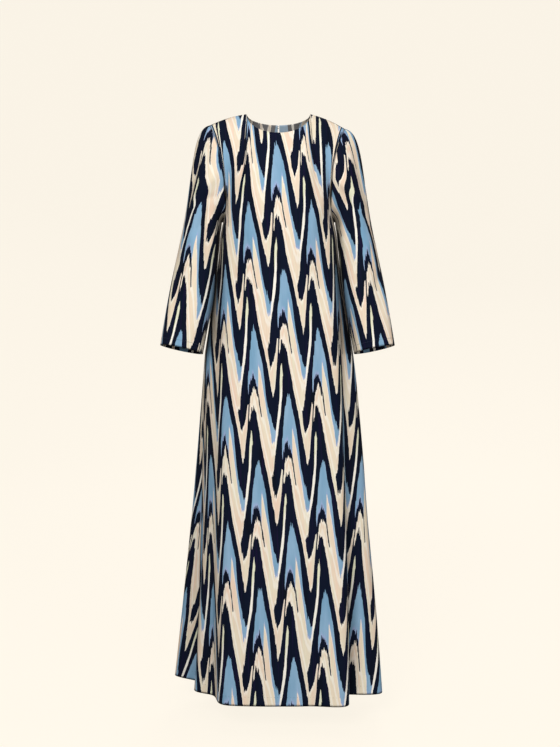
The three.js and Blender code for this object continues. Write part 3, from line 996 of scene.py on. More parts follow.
        patchy = add_node(tree, "ShaderNodeMapRange", [patch, -0.7, 0.7, 0.0, 1.0]).outputs[0]
        veined = add_node(tree, "ShaderNodeMapRange", [vein, 0.1, 0.9, 0.0, 0.75]).outputs[0]
        deep = add_node(tree, "ShaderNodeMapRange", [patch, 0.0, 0.9, 0.0, 0.6]).outputs[0]
        navy = blend(veined, blend(deep, self.navy, self.navy_deep), self.navy_plum)
        fading = add_node(tree, "ShaderNodeMapRange", [until, *self.tip, 0.0]).outputs[0]
        blue = blend(fading, blend(patchy, self.blue, self.blue_soft), self.lavender)
        tinted = add_node(tree, "ShaderNodeMapRange", [vein, 0.0, 1.0, 0.0, 0.7]).outputs[0]
        cream = blend(tinted, blend(patchy, self.cream, self.peach), self.pale)
        cream = blend(rim.outputs[0], cream, self.white)
        colour = navy
        shades = {Dye.BLUE: blue, Dye.CREAM: cream, Dye.PALE: self.pale, Dye.WHITE: self.white}
        for kind, shade in shades.items():
            over = add_node(tree, "ShaderNodeMath", [dye, kind.value - 0.5],
                            operation="GREATER_THAN").outputs[0]
            colour = blend(over, colour, shade)
        yarn = self.streak(tree, across, along, self.yarn)
        light = add_node(tree, "ShaderNodeMapRange", [yarn, -1.0, 1.0, *self.yarn_light],
                         clamp=False).outputs[0]
        tone = add_node(tree, "ShaderNodeVectorMath", [colour, None, None, light], operation="SCALE")
        return tone.outputs[0]

    def finish(self, tree: Tree, colour: Socket, across: Socket, along: Socket) -> None:
        """Adds the weave, the pressed seams with their painted shadow, painted shade in the folds, and the
        surface.

        Args:
            tree: The material's tree.
            colour: The colour of the print.
            across: Place across the cut.
            along: Place down the cut.
        """
        turn = 2 * math.pi / self.weave
        wave_u = add_node(tree, "ShaderNodeMath", [across, turn], operation="MULTIPLY").outputs[0]
        wave_v = add_node(tree, "ShaderNodeMath", [along, turn], operation="MULTIPLY").outputs[0]
        sine_u = add_node(tree, "ShaderNodeMath", [wave_u], operation="SINE").outputs[0]
        sine_v = add_node(tree, "ShaderNodeMath", [wave_v], operation="SINE").outputs[0]
        weave = add_node(tree, "ShaderNodeMath", [sine_u, sine_v], operation="MULTIPLY").outputs[0]
        pebble = add_node(tree, "ShaderNodeTexNoise", {"Scale": self.pebbles, "Detail": 2.0})
        place = add_node(tree, "ShaderNodeTexCoord")
        tree.links.new(place.outputs["Object"], pebble.inputs["Vector"])
        seam = add_node(tree, "ShaderNodeAttribute", attribute_name="seam_mm")
        valley = add_node(tree, "ShaderNodeMapRange", [seam.outputs["Fac"], 0.0, self.seam_dip, 0.0, 1.0],
                          interpolation_type="SMOOTHSTEP").outputs[0]
        height = add_node(tree, "ShaderNodeMath", [weave, self.weave_height, pebble.outputs[0]],
                          operation="MULTIPLY_ADD").outputs[0]
        height = add_node(tree, "ShaderNodeMath", [valley, self.seam_height, height],
                          operation="MULTIPLY_ADD").outputs[0]
        bump = add_node(tree, "ShaderNodeBump", {"Strength": self.relief_strength,
                                                 "Distance": self.relief_depth, "Height": height})
        # Painted shadow: the colour darkens along each pressed seam
        dark = add_node(tree, "ShaderNodeMapRange",
                        [seam.outputs["Fac"], *self.seam_shadow, self.seam_dark, 1.0],
                        interpolation_type="SMOOTHSTEP").outputs[0]
        # Painted shade: the colour darkens where the cloth lies close to itself, in its folds and under the
        # arms
        nearby = add_node(tree, "ShaderNodeAmbientOcclusion", {"Distance": self.painted_shade_reach},
                          samples=self.painted_shade_samples)
        hollow = add_node(tree, "ShaderNodeMapRange",
                          [nearby.outputs["AO"], *self.painted_shade_open, self.painted_shade_dark, 1.0]).outputs[0]
        dark = add_node(tree, "ShaderNodeMath", [dark, hollow], operation="MULTIPLY").outputs[0]
        shaded = add_node(tree, "ShaderNodeVectorMath", [colour, None, None, dark],
                          operation="SCALE").outputs[0]
        surface = add_node(tree, "ShaderNodeBsdfPrincipled", {
            "Base Color": shaded,
            "Roughness": self.roughness,
            "IOR": self.ior,
            "Specular IOR Level": self.specular,
            "Sheen Weight": self.sheen,
            "Sheen Roughness": self.sheen_roughness,
            "Normal": bump.outputs[0],
        })
        add_node(tree, "ShaderNodeOutputMaterial", {"Surface": surface.outputs[0]})


@dataclass(frozen=True)
class SmallTrim:
    """A small trim finish: its colours, gloss and the size of its grain in millimetres."""

    name: str
    colour: str
    second: str
    roughness: float
    ior: float
    grain: float
    bump: float
    coat: float = 0.0
    rough_low: float = 0.85
    rough_high: float = 1.15

    def build(self) -> bpy.types.Material:
        """Makes the material.

        Returns:
            The material.
        """
        material, tree = new_material(self.name)
        place = add_node(tree, "ShaderNodeTexCoord")
        noise = add_node(tree, "ShaderNodeTexNoise", {"Vector": place.outputs["Object"],
                                                      "Scale": 1000.0 / self.grain, "Detail": 3.0})
        mixed = add_node(tree, "ShaderNodeMix", data_type="RGBA")
        tree.links.new(noise.outputs[0], mixed.inputs[0])
        mixed.inputs[6].default_value = srgb(self.colour)
        mixed.inputs[7].default_value = srgb(self.second)
        rough = add_node(tree, "ShaderNodeMapRange",
                         [noise.outputs[0], 0.3, 0.7, self.roughness * self.rough_low,
                          self.roughness * self.rough_high])
        bump = add_node(tree, "ShaderNodeBump", {"Strength": self.bump, "Distance": 0.0002,
                                                 "Height": noise.outputs[0]})
        surface = add_node(tree, "ShaderNodeBsdfPrincipled", {
            "Base Color": mixed.outputs[2],
            "Roughness": rough.outputs[0],
            "IOR": self.ior,
            "Coat Weight": self.coat,
            "Normal": bump.outputs[0],
        })
        add_node(tree, "ShaderNodeOutputMaterial", {"Surface": surface.outputs[0]})
        return material


# Polyester resin, cast and tumbled: an even, polished gloss with faint swirls in its depth
POLISHED_RESIN = SmallTrim("polished_polyester_resin", "#151a2b", "#232b44", 0.22, 1.56, 2.5, 0.03, 0.4)
# Braided viscose cord, 1.6 mm thick: matte, with a fine broken grain from its yarns
BRAIDED_CORD = SmallTrim("braided_viscose_cord", "#151b2d", "#262f49", 0.7, 1.5, 0.7, 0.5)
# Spun polyester sewing thread in navy: a soft, broken highlight along each stitch
SEWING_THREAD = SmallTrim("spun_polyester_thread", "#1a2033", "#2a3350", 0.6, 1.55, 0.4, 0.4)


def mesh_piece(name: str, points: np.ndarray, faces: Sequence[Sequence[int]]) -> bpy.types.Object:
    """Makes an object with its place in its mesh.

    Args:
        name: Name of the piece.
        points: Its points, in metres.
        faces: Point numbers of its faces.

    Returns:
        The object, smooth shaded.
    """
    mesh = bpy.data.meshes.new(name)
    mesh.from_pydata(points.tolist(), [], [list(face) for face in faces])
    mesh.update()
    mesh.shade_smooth()
    piece = bpy.data.objects.new(name, mesh)
    bpy.context.scene.collection.objects.link(piece)
    return piece


def apply_modifiers(piece: bpy.types.Object) -> None:
    """Turns a piece and its modifiers into a plain mesh.

    Args:
        piece: The piece.
    """
    bpy.context.view_layer.update()
    evaluated = piece.evaluated_get(bpy.context.evaluated_depsgraph_get())
    plain = bpy.data.meshes.new_from_object(evaluated)
    plain.name = piece.name
    piece.modifiers.clear()
    piece.data = plain


@dataclass
class ClothPiece:
    """One cut piece of cloth: its grid, its creases and where the print lies on it."""

    name: str
    node: str
    cut: Cut
    creases: tuple[Crease, ...]
    place: PrintPlace

    def crease(self) -> None:
        """Moves the grid in and out by the creases, which fade out at the seams."""
        lift = np.zeros(self.cut.points.shape[:-1])
        for crease in self.creases:
            lift += crease.lift(self.cut.across, self.cut.along)
        lift *= smooth(0, CREASE_FADE, self.cut.seam)
        self.cut.points = self.cut.points + self.cut.normals * lift[..., None]

    def build(self, face: bpy.types.Material, reverse: bpy.types.Material) -> bpy.types.Object:
        """Makes the thin cloth.

        Args:
            face: Material of the printed side.
            reverse: Material of the inner side.

        Returns:
            The cloth as a plain mesh.
        """
        rows, columns, _ = self.cut.points.shape
        grid = np.arange(rows * columns).reshape(rows, columns)
        cells = np.stack([grid[:-1, :-1], grid[1:, :-1], grid[1:, 1:], grid[:-1, 1:]], -1)
        faces = cells[~self.cut.gap_cells]
        piece = mesh_piece(self.name, self.cut.points.reshape(-1, 3) * MM, faces.tolist())
        corners = np.empty(len(piece.data.loops), np.int32)
        piece.data.loops.foreach_get("vertex_index", corners)
        lean = (self.place.drift - self.place.bend * self.cut.along) * self.cut.along
        drifted = self.cut.across + self.place.across - lean
        lengthwise = self.cut.along + self.place.down
        layer = piece.data.uv_layers.new(name="cut")
        pairs = np.stack([drifted.ravel()[corners], lengthwise.ravel()[corners]], -1) * MM
        layer.data.foreach_set("uv", pairs.astype(np.float32).ravel())
        seam = piece.data.attributes.new("seam_mm", "FLOAT", "POINT")
        seam.data.foreach_set("value", self.cut.seam.astype(np.float32).ravel())
        piece.data.materials.append(face)
        piece.data.materials.append(reverse)
        shell = piece.modifiers.new("cloth", "SOLIDIFY")
        shell.thickness = CLOTH_THICK * MM
        shell.offset = -1
        shell.material_offset = 1
        shell.use_even_offset = False
        apply_modifiers(piece)
        width, length, area = self.cut.size()
        LOG.info("%s: cut %.3f x %.3f m, %.3f m2, %d faces", self.name, width, length, area, len(faces))
        return piece


@dataclass
class BodyPanels:
    """The front and back panels, each cut in one from the shoulders to the hem."""

    form: GarmentForm
    neck_columns: int = 50
    shoulder_columns: int = 38
    body_rows: int = 190
    armhole_rows: int = 48
    # The grain leans back over the shoulders: from this rise, and by this much at the top
    lean_from: float = 0.45
    lean_most: float = 0.8

    def shares(self, half: Half) -> np.ndarray:
        """Columns of a panel, to the right as seen from outside.

        Args:
            half: The panel.

        Returns:
            Their places across the panel.
        """
        first = 0 if half is Half.FRONT else SLIT_HALF_SHARE
        inner = np.linspace(first, NECK_SHARE, self.neck_columns + 1)
        outer = np.linspace(NECK_SHARE, 1, self.shoulder_columns + 1)[1:]
        right = np.concatenate([inner, outer])
        left = -right[::-1]
        both = np.concatenate([left[:-1] if half is Half.FRONT else left, right])
        return both if half is Half.FRONT else both[::-1]

    def cut(self, half: Half) -> Cut:
        """Lays out a panel.

        Args:
            half: The panel.

        Returns:
            Its grid.
        """
        shares = self.shares(half)
        rises = np.linspace(1, 0, self.armhole_rows + 1)
        heights = np.linspace(UNDERARM[2], HEM_Z, self.body_rows + 1)[1:]
        share, rise = np.meshgrid(shares, rises)
        upper = self.form.upper(half, share, rise)
        share, z = np.meshgrid(shares, heights)
        points = np.concatenate([upper, self.form.lower(half, share, z)])
        middle = float(np.interp(0, np.sort(shares), np.arange(len(shares))))
        back = 1.0 if half is Half.BACK else -1.0
        lean = smooth(self.lean_from, 1, np.concatenate([rises, np.zeros(len(heights))]))
        down = np.stack([np.zeros_like(lean), back * self.lean_most * lean, -np.ones_like(lean)], -1)
        across, along = flatten(points, self.armhole_rows, middle, down)
        run = arc(points, 1)
        seam = np.minimum(run, run[:, -1:] - run)
        from_top = arc(points, 0)
        on_shoulder = np.abs(shares) >= NECK_SHARE - 1e-9
        seam = np.where(on_shoulder[None, :], np.minimum(seam, from_top), seam)
        gaps = np.zeros((points.shape[0] - 1, points.shape[1] - 1), bool)
        if half is Half.BACK:
            open_rows = round(self.armhole_rows * (1 - SLIT_FROM_RISE))
            gaps[:open_rows, len(shares) // 2 - 1] = True
        return Cut(points, across, along, seam, gaps, HEM_TURN)


@dataclass
class SetInSleeve:
    """A set-in sleeve, cut in one with its seam at the underarm."""

    form: GarmentForm
    side: Side
    columns: int = 128
    cap_rows: int = 34
    sleeve_rows: int = 48
    # Depth below the neck, place of the sleeve's inner edge, and how far it moves in, left and right
    snug: tuple[tuple[float, float, float, float], ...] = (
        (262, 148, 2.6, 2.6),
        (275, 150, 3.4, 3.4),
        (295, 152, 1.8, 1.8),
        (335, 154, 1.2, 0.5),
        (375, 158.5, 2.0, 1.4),
        (415, 163, 2.1, 1.2),
        (455, 168, 2.6, 0.8),
        (500, 176, 1.6, 0.0),
        (540, 184, 0.0, 0.0),
    )
    snug_reach: float = 30.0
    snug_cap: float = 12.0

    def nestle(self, points: np.ndarray) -> np.ndarray:
        """Brings the inner side of the sleeve up to the body, so that hardly any light shows between them.

        Args:
            points: The sleeve's grid.

        Returns:
            The moved grid.
        """
        table = np.array(self.snug)
        depth = -points[..., 2]
        edge = np.interp(depth, table[:, 0], table[:, 1])
        move = np.interp(depth, table[:, 0], table[:, 2 if self.side is Side.LEFT else 3])
        inner = smooth(self.snug_reach, 0, np.abs(points[..., 0]) - edge)
        inner = inner * smooth(0, self.snug_cap, arc(points, 0))
        points[..., 0] -= self.side.value * move * inner
        return points

    def cut(self) -> Cut:
        """Lays out the sleeve.

        Returns:
            Its grid.
        """
        turns = np.linspace(0, 2, self.columns + 1)
        if self.side is Side.LEFT:
            turns = turns[::-1]
        turn, out = np.meshgrid(turns, np.linspace(0, 1, self.cap_rows + 1))
        cap = self.form.fold_sleeve(self.side, self.form.sleeve_cap(self.side, turn, out), turn)
        heights = np.linspace(FIRST_RING_Z, CUFF_Z, self.sleeve_rows + 1)[1:]
        turn, z = np.meshgrid(turns, heights)
        rings = self.form.fold_sleeve(self.side, self.form.sleeve_ring(self.side, turn, z), turn)
        points = self.nestle(np.concatenate([cap, rings]))
        axis = unit(np.array(self.form.sleeve_axis)) * (self.side.value, 1, 1)
        down = np.repeat(axis[None, :], len(points), 0)
        across, along = flatten(points, self.cap_rows, self.columns / 2, down)
        run = arc(points, 1)
        seam = np.minimum(np.minimum(run, run[:, -1:] - run), arc(points, 0))
        gaps = np.zeros((points.shape[0] - 1, points.shape[1] - 1), bool)
        return Cut(points, across, along, seam, gaps, CUFF_TURN)


@dataclass
class BackFastening:
    """The button on its shank and the cord loop, at the top of the back neck slit, in millimetres."""

    form: GarmentForm
    side: float = -7.5
    below: float = 9.0
    radius: float = 5.5
    thick: float = 2.6
    shank: float = 2.0
    lift: float = 2.6
    clear: float = 0.3
    cord_radius: float = 0.8
    cord_turn: float = 3.3
    cord_spread: float = 2.0
    cord_reach: float = 8.2
    cord_opening: float = 100.0
    sides: int = 64
    cord_sides: int = 12
    cord_steps: int = 72

    def place(self) -> tuple[np.ndarray, np.ndarray]:
        """Works out the fastening's place on the upper back.

        Returns:
            Its directions, right as seen from behind, up and outward, and its point.
        """
        rises = np.linspace(0, 1, 13)
        centre = self.form.upper(Half.BACK, np.full_like(rises, SLIT_HALF_SHARE), rises)
        length = float(np.linalg.norm(np.diff(centre, axis=0), axis=1).sum())
        share = -NECK_SHARE * math.asin(abs(self.side) / NECK_POINT[0]) / (math.pi / 2)
        rise, small = 1 - self.below / length, 0.01

        def at(s: float, r: float) -> np.ndarray:
            """Point of the back at a share and a rise."""
            return self.form.upper(Half.BACK, np.array([s]), np.array([r]))[0]

        point = at(share, rise)
        up = unit(at(share, rise + small) - point)
        right = at(share - small, rise) - point
        right = unit(right - up * (right @ up))
        return np.stack([right, up, np.cross(right, up)]), point

    def button(self) -> bpy.types.Object:
        """Makes the turned button with its dished top.

        Returns:
            The button.
        """
        top = self.lift + self.thick
        wide = self.radius
        edge = [(wide - 0.6, self.lift), (wide - 0.2, self.lift + 0.12), (wide, self.lift + 0.6),
                (wide, top - 0.9), (wide - 0.25, top - 0.3), (wide - 0.9, top),
                (wide - 1.5, top - 0.12), (wide - 2.2, top - 0.5), (wide - 3.4, top - 0.62)]
        foot_edge = [(self.shank, self.clear), (self.shank, self.lift - 0.4), (self.shank + 0.4, self.lift)]
        profile = foot_edge + edge
        angles = np.arange(self.sides) * 2 * np.pi / self.sides
        rings = [np.stack([r * np.cos(angles), r * np.sin(angles), np.full_like(angles, h)], -1)
                 for r, h in profile]
        local = np.concatenate([*rings, [[0, 0, self.clear]], [[0, 0, top - 0.65]]])
        faces: list[tuple[int, ...]] = []
        for ring in range(len(profile) - 1):
            for k in range(self.sides):
                a, b = ring * self.sides + k, ring * self.sides + (k + 1) % self.sides
                faces.append((a, b, b + self.sides, a + self.sides))
        foot, crown = len(local) - 2, len(local) - 1
        last = (len(profile) - 1) * self.sides
        for k in range(self.sides):
            following = (k + 1) % self.sides
            faces.append((foot, following, k))
            faces.append((crown, last + k, last + following))
        axes, point = self.place()
        return mesh_piece("back_button_resin", (local @ axes + point) * MM, faces)

    def loop(self) -> bpy.types.Object:
        """Makes the cord loop round the button's shank.

        Returns:
            The loop.
        """
        height = self.clear + self.cord_radius
        bend = [math.radians(a) for a in np.linspace(-self.cord_opening, self.cord_opening, 9)]
        route = [(-self.cord_reach, -self.cord_spread), (-self.cord_reach / 2, -self.cord_turn)]
        route += [(self.cord_turn * math.cos(a), self.cord_turn * math.sin(a)) for a in bend]
        route += [(-self.cord_reach / 2, self.cord_turn), (-self.cord_reach, self.cord_spread)]
        knots = np.array([(x, y, height) for x, y in route])
        run = np.concatenate([[0], np.cumsum(np.linalg.norm(np.diff(knots, axis=0), axis=1))])
        even = np.linspace(0, run[-1], self.cord_steps)
        line = np.stack([np.interp(even, run, knots[:, k]) for k in range(3)], -1)
        for _ in range(3):
            line[1:-1] = (line[:-2] + 2 * line[1:-1] + line[2:]) / 4
        ahead = unit(np.gradient(line, axis=0))
        aside = unit(np.cross(ahead, (0, 0, 1)))
        angles = np.arange(self.cord_sides) * 2 * np.pi / self.cord_sides
        local = [line[i] + self.cord_radius * (math.cos(a) * aside[i] + math.sin(a) * np.array((0, 0, 1)))
                 for i in range(self.cord_steps) for a in angles]
        n = self.cord_sides
        faces: list[tuple[int, ...]] = [
            (i * n + k, i * n + (k + 1) % n, (i + 1) * n + (k + 1) % n, (i + 1) * n + k)
            for i in range(self.cord_steps - 1) for k in range(n)
        ]
        faces.append(tuple(range(n))[::-1])
        faces.append(tuple((self.cord_steps - 1) * n + k for k in range(n)))
        axes, point = self.place()
        return mesh_piece("button_loop_cord", (np.array(local) @ axes + point) * MM, faces)


@dataclass
class Stitching:
    """Rows of stitches that follow a line on the cloth, made by one node tree, sizes in millimetres."""

    pitch: float = 3.2
    length: float = 2.2
    radius: float = 0.28
    seed: int = 7
    shortest: float = 0.88
    longest: float = 1.08

    def tree(self, material: bpy.types.Material) -> tuple[Tree, dict[str, str]]:
        """Builds the tree that lays a stitch at each step along a line.

        Args:
            material: The thread.

        Returns:
            The tree, and the identifier of each named input.
        """
        tree = bpy.data.node_groups.new("stitch_row", "GeometryNodeTree")
        names: dict[str, str] = {}
        tree.interface.new_socket("Geometry", in_out="INPUT", socket_type="NodeSocketGeometry")
        for name, kind, value in (("Pitch", "NodeSocketFloat", self.pitch * MM),
                                  ("Stitch Length", "NodeSocketFloat", self.length * MM),
                                  ("Thread Radius", "NodeSocketFloat", self.radius * MM),
                                  ("Seed", "NodeSocketInt", self.seed)):
            socket = tree.interface.new_socket(name, in_out="INPUT", socket_type=kind)
            socket.default_value = value
            names[name] = socket.identifier
        tree.interface.new_socket("Geometry", in_out="OUTPUT", socket_type="NodeSocketGeometry")
        given = add_node(tree, "NodeGroupInput")
        line = add_node(tree, "GeometryNodeMeshToCurve", {"Mesh": given.outputs["Geometry"]})
        steps = add_node(tree, "GeometryNodeResampleCurve",
                         {"Curve": line.outputs[0], "Length": given.outputs["Pitch"]}, mode="LENGTH")
        thread = add_node(tree, "GeometryNodeMeshCylinder",
                          {"Vertices": 6, "Side Segments": 2, "Radius": given.outputs["Thread Radius"],
                           "Depth": given.outputs["Stitch Length"]})
        tangent = add_node(tree, "GeometryNodeInputTangent")
        turned = add_node(tree, "FunctionNodeAlignRotationToVector", {"Vector": tangent.outputs[0]}, axis="Z")
        uneven = add_node(tree, "FunctionNodeRandomValue", {"Seed": given.outputs["Seed"]}, data_type="FLOAT")
        uneven.inputs[2].default_value = self.shortest
        uneven.inputs[3].default_value = self.longest
        placed = add_node(tree, "GeometryNodeInstanceOnPoints", {
            "Points": steps.outputs[0],
            "Instance": thread.outputs[0],
            "Rotation": turned.outputs[0],
            "Scale": uneven.outputs[1],
        })
        real = add_node(tree, "GeometryNodeRealizeInstances", {"Geometry": placed.outputs[0]})
        dressed = add_node(tree, "GeometryNodeSetMaterial",
                           {"Geometry": real.outputs[0], "Material": material})
        add_node(tree, "NodeGroupOutput", {"Geometry": dressed.outputs[0]})
        return tree, names

    def row(self, name: str, lines: Sequence[np.ndarray], made: tuple[Tree, dict[str, str]],
            pitch: float, length: float) -> bpy.types.Object:
        """Sews rows of stitches along lines.

        Args:
            name: Name of the piece.
            lines: Lines of points, in millimetres.
            made: The tree and its inputs' identifiers.
            pitch: Distance between stitches.
            length: Length of a stitch.

        Returns:
            The stitches as one plain mesh.
        """
        tree, names = made
        edges, start = [], 0
        for line in lines:
            edges += [(start + i, start + i + 1) for i in range(len(line) - 1)]
            start += len(line)
        mesh = bpy.data.meshes.new(name)
        mesh.from_pydata((np.concatenate(lines) * MM).tolist(), edges, [])
        piece = bpy.data.objects.new(name, mesh)
        bpy.context.scene.collection.objects.link(piece)
        modifier = piece.modifiers.new("stitches", "NODES")
        modifier.node_group = tree
        modifier[names["Pitch"]] = pitch * MM
        modifier[names["Stitch Length"]] = length * MM
        apply_modifiers(piece)
        piece.data.shade_smooth()
        return piece


def line_from_edge(cut: Cut, distance: float, outward: float) -> np.ndarray:
    """A line on the cloth at an even distance above its bottom edge.

    Args:
        cut: The cloth, before its edge is turned up.
        distance: Distance from the edge, in millimetres.
        outward: How far the line stands off the cloth.

    Returns:
        The line's points.
    """
    points = (cut.points + cut.normals * outward)[::-1]
    run = arc(points, 0)
    columns = range(points.shape[1])
    return np.array([[np.interp(distance, run[:, c], points[:, c, k]) for k in range(3)] for c in columns])


@dataclass(frozen=True)
class SoftLight:
    """A square soft light: its place and size in metres, its power in watts and its tint."""

    name: str
    place: tuple[float, float, float]
    size: float
    power: float
    tint: tuple[float, float, float]


@dataclass
class Studio:
    """The pale studio: a swept floor, soft lights and the camera, in metres."""

    paper: str = "#fdf6e9"
    glow: float = 0.945
    # The share of the paper's colour that the lights and the shadow act on
    matte_share: float = 0.1
    soft_lights: tuple[SoftLight, ...] = (
        SoftLight("key", (-0.9, -4.0, 1.3), 1.6, 132.0, (1.0, 0.99, 0.97)),
        SoftLight("fill", (1.6, -3.8, 0.2), 2.0, 54.0, (1.0, 0.985, 0.97)),
        SoftLight("top", (0.0, -0.6, 2.4), 1.8, 14.0, (1.0, 0.99, 0.98)),
        SoftLight("back", (0.7, 4.2, 1.9), 2.4, 105.0, (1.0, 0.99, 0.98)),
        SoftLight("left", (-4.2, 0.4, 1.2), 2.2, 13.0, (1.0, 0.985, 0.97)),
        SoftLight("right", (4.2, 0.6, 1.0), 2.2, 10.0, (1.0, 0.985, 0.97)),
    )
    lit_point: tuple[float, float, float] = (0.0, 0.0, -0.8)
    air: tuple[float, float, float, float] = (1.0, 0.975, 0.94, 1.0)
    air_strength: float = 0.13
    wall_at: float = 6.2
    sweep: float = 2.2
    wall_height: float = 5.0
    wall_sides: int = 96
    lens: float = 61.4
    camera: tuple[float, float, float] = (0.0039, -3.2968, -0.335)
    tilt: float = 1.5
    shift: float = -0.1194

    def floor(self) -> None:
        """Makes the round floor that sweeps up to a wall on all sides."""
        level = (HEM_Z - FLOOR_BELOW_HEM) * MM
        bend = np.linspace(0, math.pi / 2, 25)
        radii = np.append(self.wall_at - self.sweep + self.sweep * np.sin(bend), self.wall_at)
        heights = np.append(level + self.sweep * (1 - np.cos(bend)), level + self.wall_height)
        angles = np.linspace(0, 2 * math.pi, self.wall_sides, endpoint=False)
        points = np.stack([np.outer(radii, np.cos(angles)), np.outer(radii, np.sin(angles)),
                           np.repeat(heights[:, None], self.wall_sides, 1)], -1)
        grid = np.arange(points.shape[0] * self.wall_sides).reshape(points.shape[:2])
        onward = np.roll(grid, -1, 1)
        faces = [grid[0].tolist()]
        faces += np.stack([grid[:-1], grid[1:], onward[1:], onward[:-1]], -1).reshape(-1, 4).tolist()
        floor = mesh_piece("studio_floor", points.reshape(-1, 3), faces)
        material, tree = new_material("matte_background_paper")
        colour = srgb(self.paper)
        matte = tuple(c * self.matte_share for c in colour[:3]) + (1.0,)
        diffuse = add_node(tree, "ShaderNodeBsdfDiffuse", {"Color": matte})
        glow = add_node(tree, "ShaderNodeEmission", {"Color": colour, "Strength": self.glow})
        both = add_node(tree, "ShaderNodeAddShader", [diffuse.outputs[0], glow.outputs[0]])
        add_node(tree, "ShaderNodeOutputMaterial", {"Surface": both.outputs[0]})
        floor.data.materials.append(material)
        floor.visible_diffuse = False
        floor.visible_glossy = False
        floor.visible_shadow = False

    def lights(self) -> None:
        """Hangs the soft lights and sets the surrounding light."""
        for lamp in self.soft_lights:
            data = bpy.data.lights.new(lamp.name, "AREA")
            data.size = lamp.size
            data.energy = lamp.power
            data.color = lamp.tint
            light = bpy.data.objects.new(lamp.name, data)
            light.location = lamp.place
            aim = np.array(self.lit_point) - np.array(lamp.place)
            light.rotation_euler = aim_rotation(aim)
            light.visible_camera = False
            bpy.context.scene.collection.objects.link(light)
        world = bpy.data.worlds.new("studio")
        world.use_nodes = True
        world.node_tree.nodes.clear()
        air = add_node(world.node_tree, "ShaderNodeBackground",
                       {"Color": self.air, "Strength": self.air_strength})
        add_node(world.node_tree, "ShaderNodeOutputWorld", {"Surface": air.outputs[0]})
        bpy.context.scene.world = world

    def shoot(self) -> None:
        """Places the camera and sets the view's colours."""
        data = bpy.data.cameras.new("camera")
        data.lens = self.lens
        data.sensor_width = 36.0
        data.shift_y = self.shift
        data.clip_start = 0.1
        data.clip_end = 100.0
        camera = bpy.data.objects.new("camera", data)
        camera.location = self.camera
        camera.rotation_euler = (math.radians(90 - self.tilt), 0, 0)
        bpy.context.scene.collection.objects.link(camera)
        bpy.context.scene.camera = camera
        bpy.context.scene.view_settings.view_transform = "Standard"
        bpy.context.scene.view_settings.look = "None"


def aim_rotation(way: np.ndarray) -> Any:
    """Rotation that points a light's -Z axis along a direction.

    Args:
        way: The direction.

    Returns:
        Euler angles.
    """
    return Vector(way.tolist()).to_track_quat("-Z", "Y").to_euler()


FRONT_CREASES = (
    Crease((-58, 560), (-84, 1440), 3.2, 20, 6),
    Crease((-8, 700), (6, 1440), -3.0, 24, -5),
    Crease((70, 480), (104, 1440), 3.4, 22, 8),
    Crease((128, 820), (150, 1440), -3.2, 17, 4),
    Crease((-150, 900), (-176, 1440), -3.4, 18, -5),
    Crease((-118, 250), (-96, 470), -3.5, 18, 9),
    Crease((112, 250), (96, 520), -3.0, 18, -7),
    Crease((-134, 170), (-60, 300), 2.2, 15, -8),
    Crease((132, 160), (66, 310), 2.4, 15, 8),
    Crease((-30, 130), (-20, 420), -1.6, 26, 4),
    Crease((40, 200), (30, 480), 1.6, 24, -4),
    Crease((-128, 20), (-96, 120), -2.0, 16, 4),
    Crease((130, 28), (98, 130), -2.0, 16, -4),
    Crease((-330, 980), (-352, 1440), 3.6, 16, 4),
    Crease((300, 900), (330, 1440), -3.6, 15, -4),
)
BACK_CREASES = (
    Crease((-70, 420), (-96, 1440), 3.4, 22, 7),
    Crease((-20, 640), (-10, 1440), -3.2, 24, -6),
    Crease((44, 520), (70, 1440), 3.0, 20, 5),
    Crease((130, 780), (158, 1440), -3.6, 19, 6),
    Crease((-168, 860), (-196, 1440), -3.2, 18, -4),
    Crease((-120, 160), (-70, 330), 2.6, 16, 9),
    Crease((118, 150), (72, 350), 2.4, 16, -9),
    Crease((-40, 90), (-34, 330), -2.2, 22, -4),
    Crease((36, 110), (30, 380), -2.0, 22, 4),
    Crease((-96, 300), (-40, 380), -2.4, 14, 5),
    Crease((90, 330), (30, 400), -2.6, 14, -5),
    Crease((250, 900), (286, 1440), 3.6, 16, 4),
)
LEFT_SLEEVE_CREASES = (
    Crease((62, 70), (30, 210), -5.0, 11, 6),
    Crease((104, 120), (44, 215), 4.4, 9, -5),
    Crease((112, 190), (36, 248), -5.2, 9, 6),
    Crease((92, 262), (48, 300), -3.6, 8, -4),
    Crease((40, 280), (96, 352), 2.4, 10, -5),
    Crease((8, 330), (70, 412), -2.2, 11, 5),
    Crease((18, 420), (34, 560), 2.2, 12, -3),
    Crease((-34, 300), (-20, 540), -2.0, 13, 4),
    Crease((-84, 130), (-40, 240), -2.6, 11, -5),
    Crease((-110, 230), (-50, 290), 2.4, 10, 4),
    Crease((-96, 330), (-60, 520), 2.2, 12, -4),
    Crease((76, 440), (60, 570), -2.4, 9, 3),
)
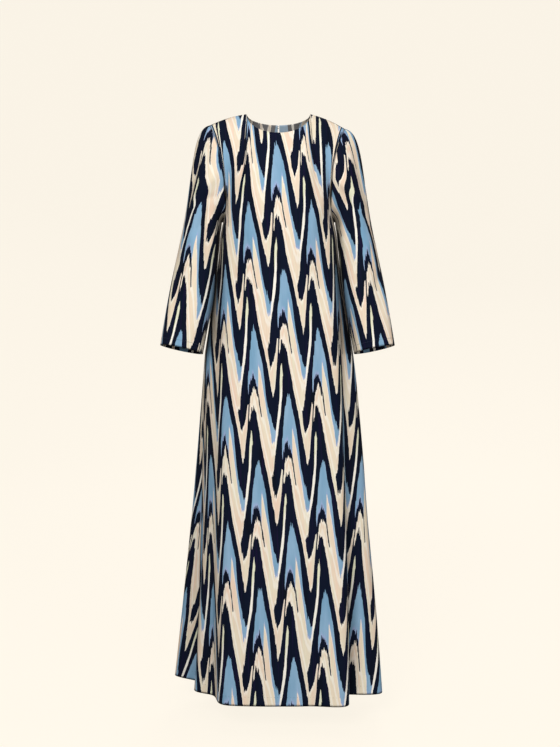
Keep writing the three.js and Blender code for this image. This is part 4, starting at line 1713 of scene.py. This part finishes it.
RIGHT_SLEEVE_CREASES = (
    Crease((-60, 60), (-34, 200), -4.6, 11, -6),
    Crease((-104, 130), (-42, 222), 4.6, 9, 5),
    Crease((-110, 200), (-40, 256), -5.0, 9, -5),
    Crease((-90, 268), (-50, 306), -3.4, 8, 4),
    Crease((-36, 296), (-92, 372), 2.2, 10, 6),
    Crease((-10, 350), (-64, 440), -2.2, 11, -5),
    Crease((-22, 400), (-30, 560), 2.0, 12, 3),
    Crease((36, 280), (24, 520), -2.0, 13, -4),
    Crease((80, 120), (42, 250), -2.8, 11, 5),
    Crease((104, 250), (52, 300), 2.2, 10, -4),
    Crease((92, 350), (58, 530), 2.2, 12, 4),
    Crease((-70, 450), (-66, 570), -2.4, 9, -3),
)


def main() -> None:
    """Builds the garment piece by piece, then the studio round it."""
    logging.basicConfig(level=logging.INFO, format="%(message)s")
    form = GarmentForm()
    crepe = PrintedCrepe()
    face, reverse = crepe.build(0.0), crepe.build(REVERSE_FADE)
    panels = BodyPanels(form)
    left, right = SetInSleeve(form, Side.LEFT).cut(), SetInSleeve(form, Side.RIGHT).cut()
    pieces = (
        ClothPiece("front_cloth", "front_panel", panels.cut(Half.FRONT), FRONT_CREASES,
                   PrintPlace(8.0, -344.0, 0.0617, 2.1e-5)),
        ClothPiece("back_cloth", "back_panel", panels.cut(Half.BACK), BACK_CREASES,
                   PrintPlace(10.0, -250.0, 0.03, 1.2e-5)),
        ClothPiece("sleeve_left_cloth", "sleeve_left", left, LEFT_SLEEVE_CREASES,
                   PrintPlace(7.0, -60.0)),
        ClothPiece("sleeve_right_cloth", "sleeve_right", right, RIGHT_SLEEVE_CREASES,
                   PrintPlace(-18.0, -64.0)),
    )
    sewing = Stitching()
    made = sewing.tree(SEWING_THREAD.build())
    for piece in pieces:
        piece.crease()
        stitch_line = line_from_edge(piece.cut, piece.cut.turn - STITCH_BELOW_TURN, STITCH_PROUD)
        piece.cut.turn_up()
        cloth = piece.build(face, reverse)
        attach(cloth, ROOT)
        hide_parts(piece.node)
        pitch, length = HEM_STITCH if "panel" in piece.node else CUFF_STITCH
        hem = sewing.row(piece.name + "_hem_stitches", [stitch_line], made, pitch, length)
        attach(hem, ROOT)
        width, long, area = piece.cut.size()
    fastening = BackFastening(form)
    for piece, finish, node, slot in (
        (fastening.button(), POLISHED_RESIN, "back_button", "button"),
        (fastening.loop(), BRAIDED_CORD, "button_loop", "loop_cord"),
    ):
        piece.data.materials.append(finish.build())
        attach(piece, ROOT)
        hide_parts(node)
        LOG.info("%s: %d faces", piece.name, len(piece.data.polygons))
    studio = Studio()
    studio.floor()
    studio.lights()
    studio.shoot()


if __name__ == "__main__":
    main()
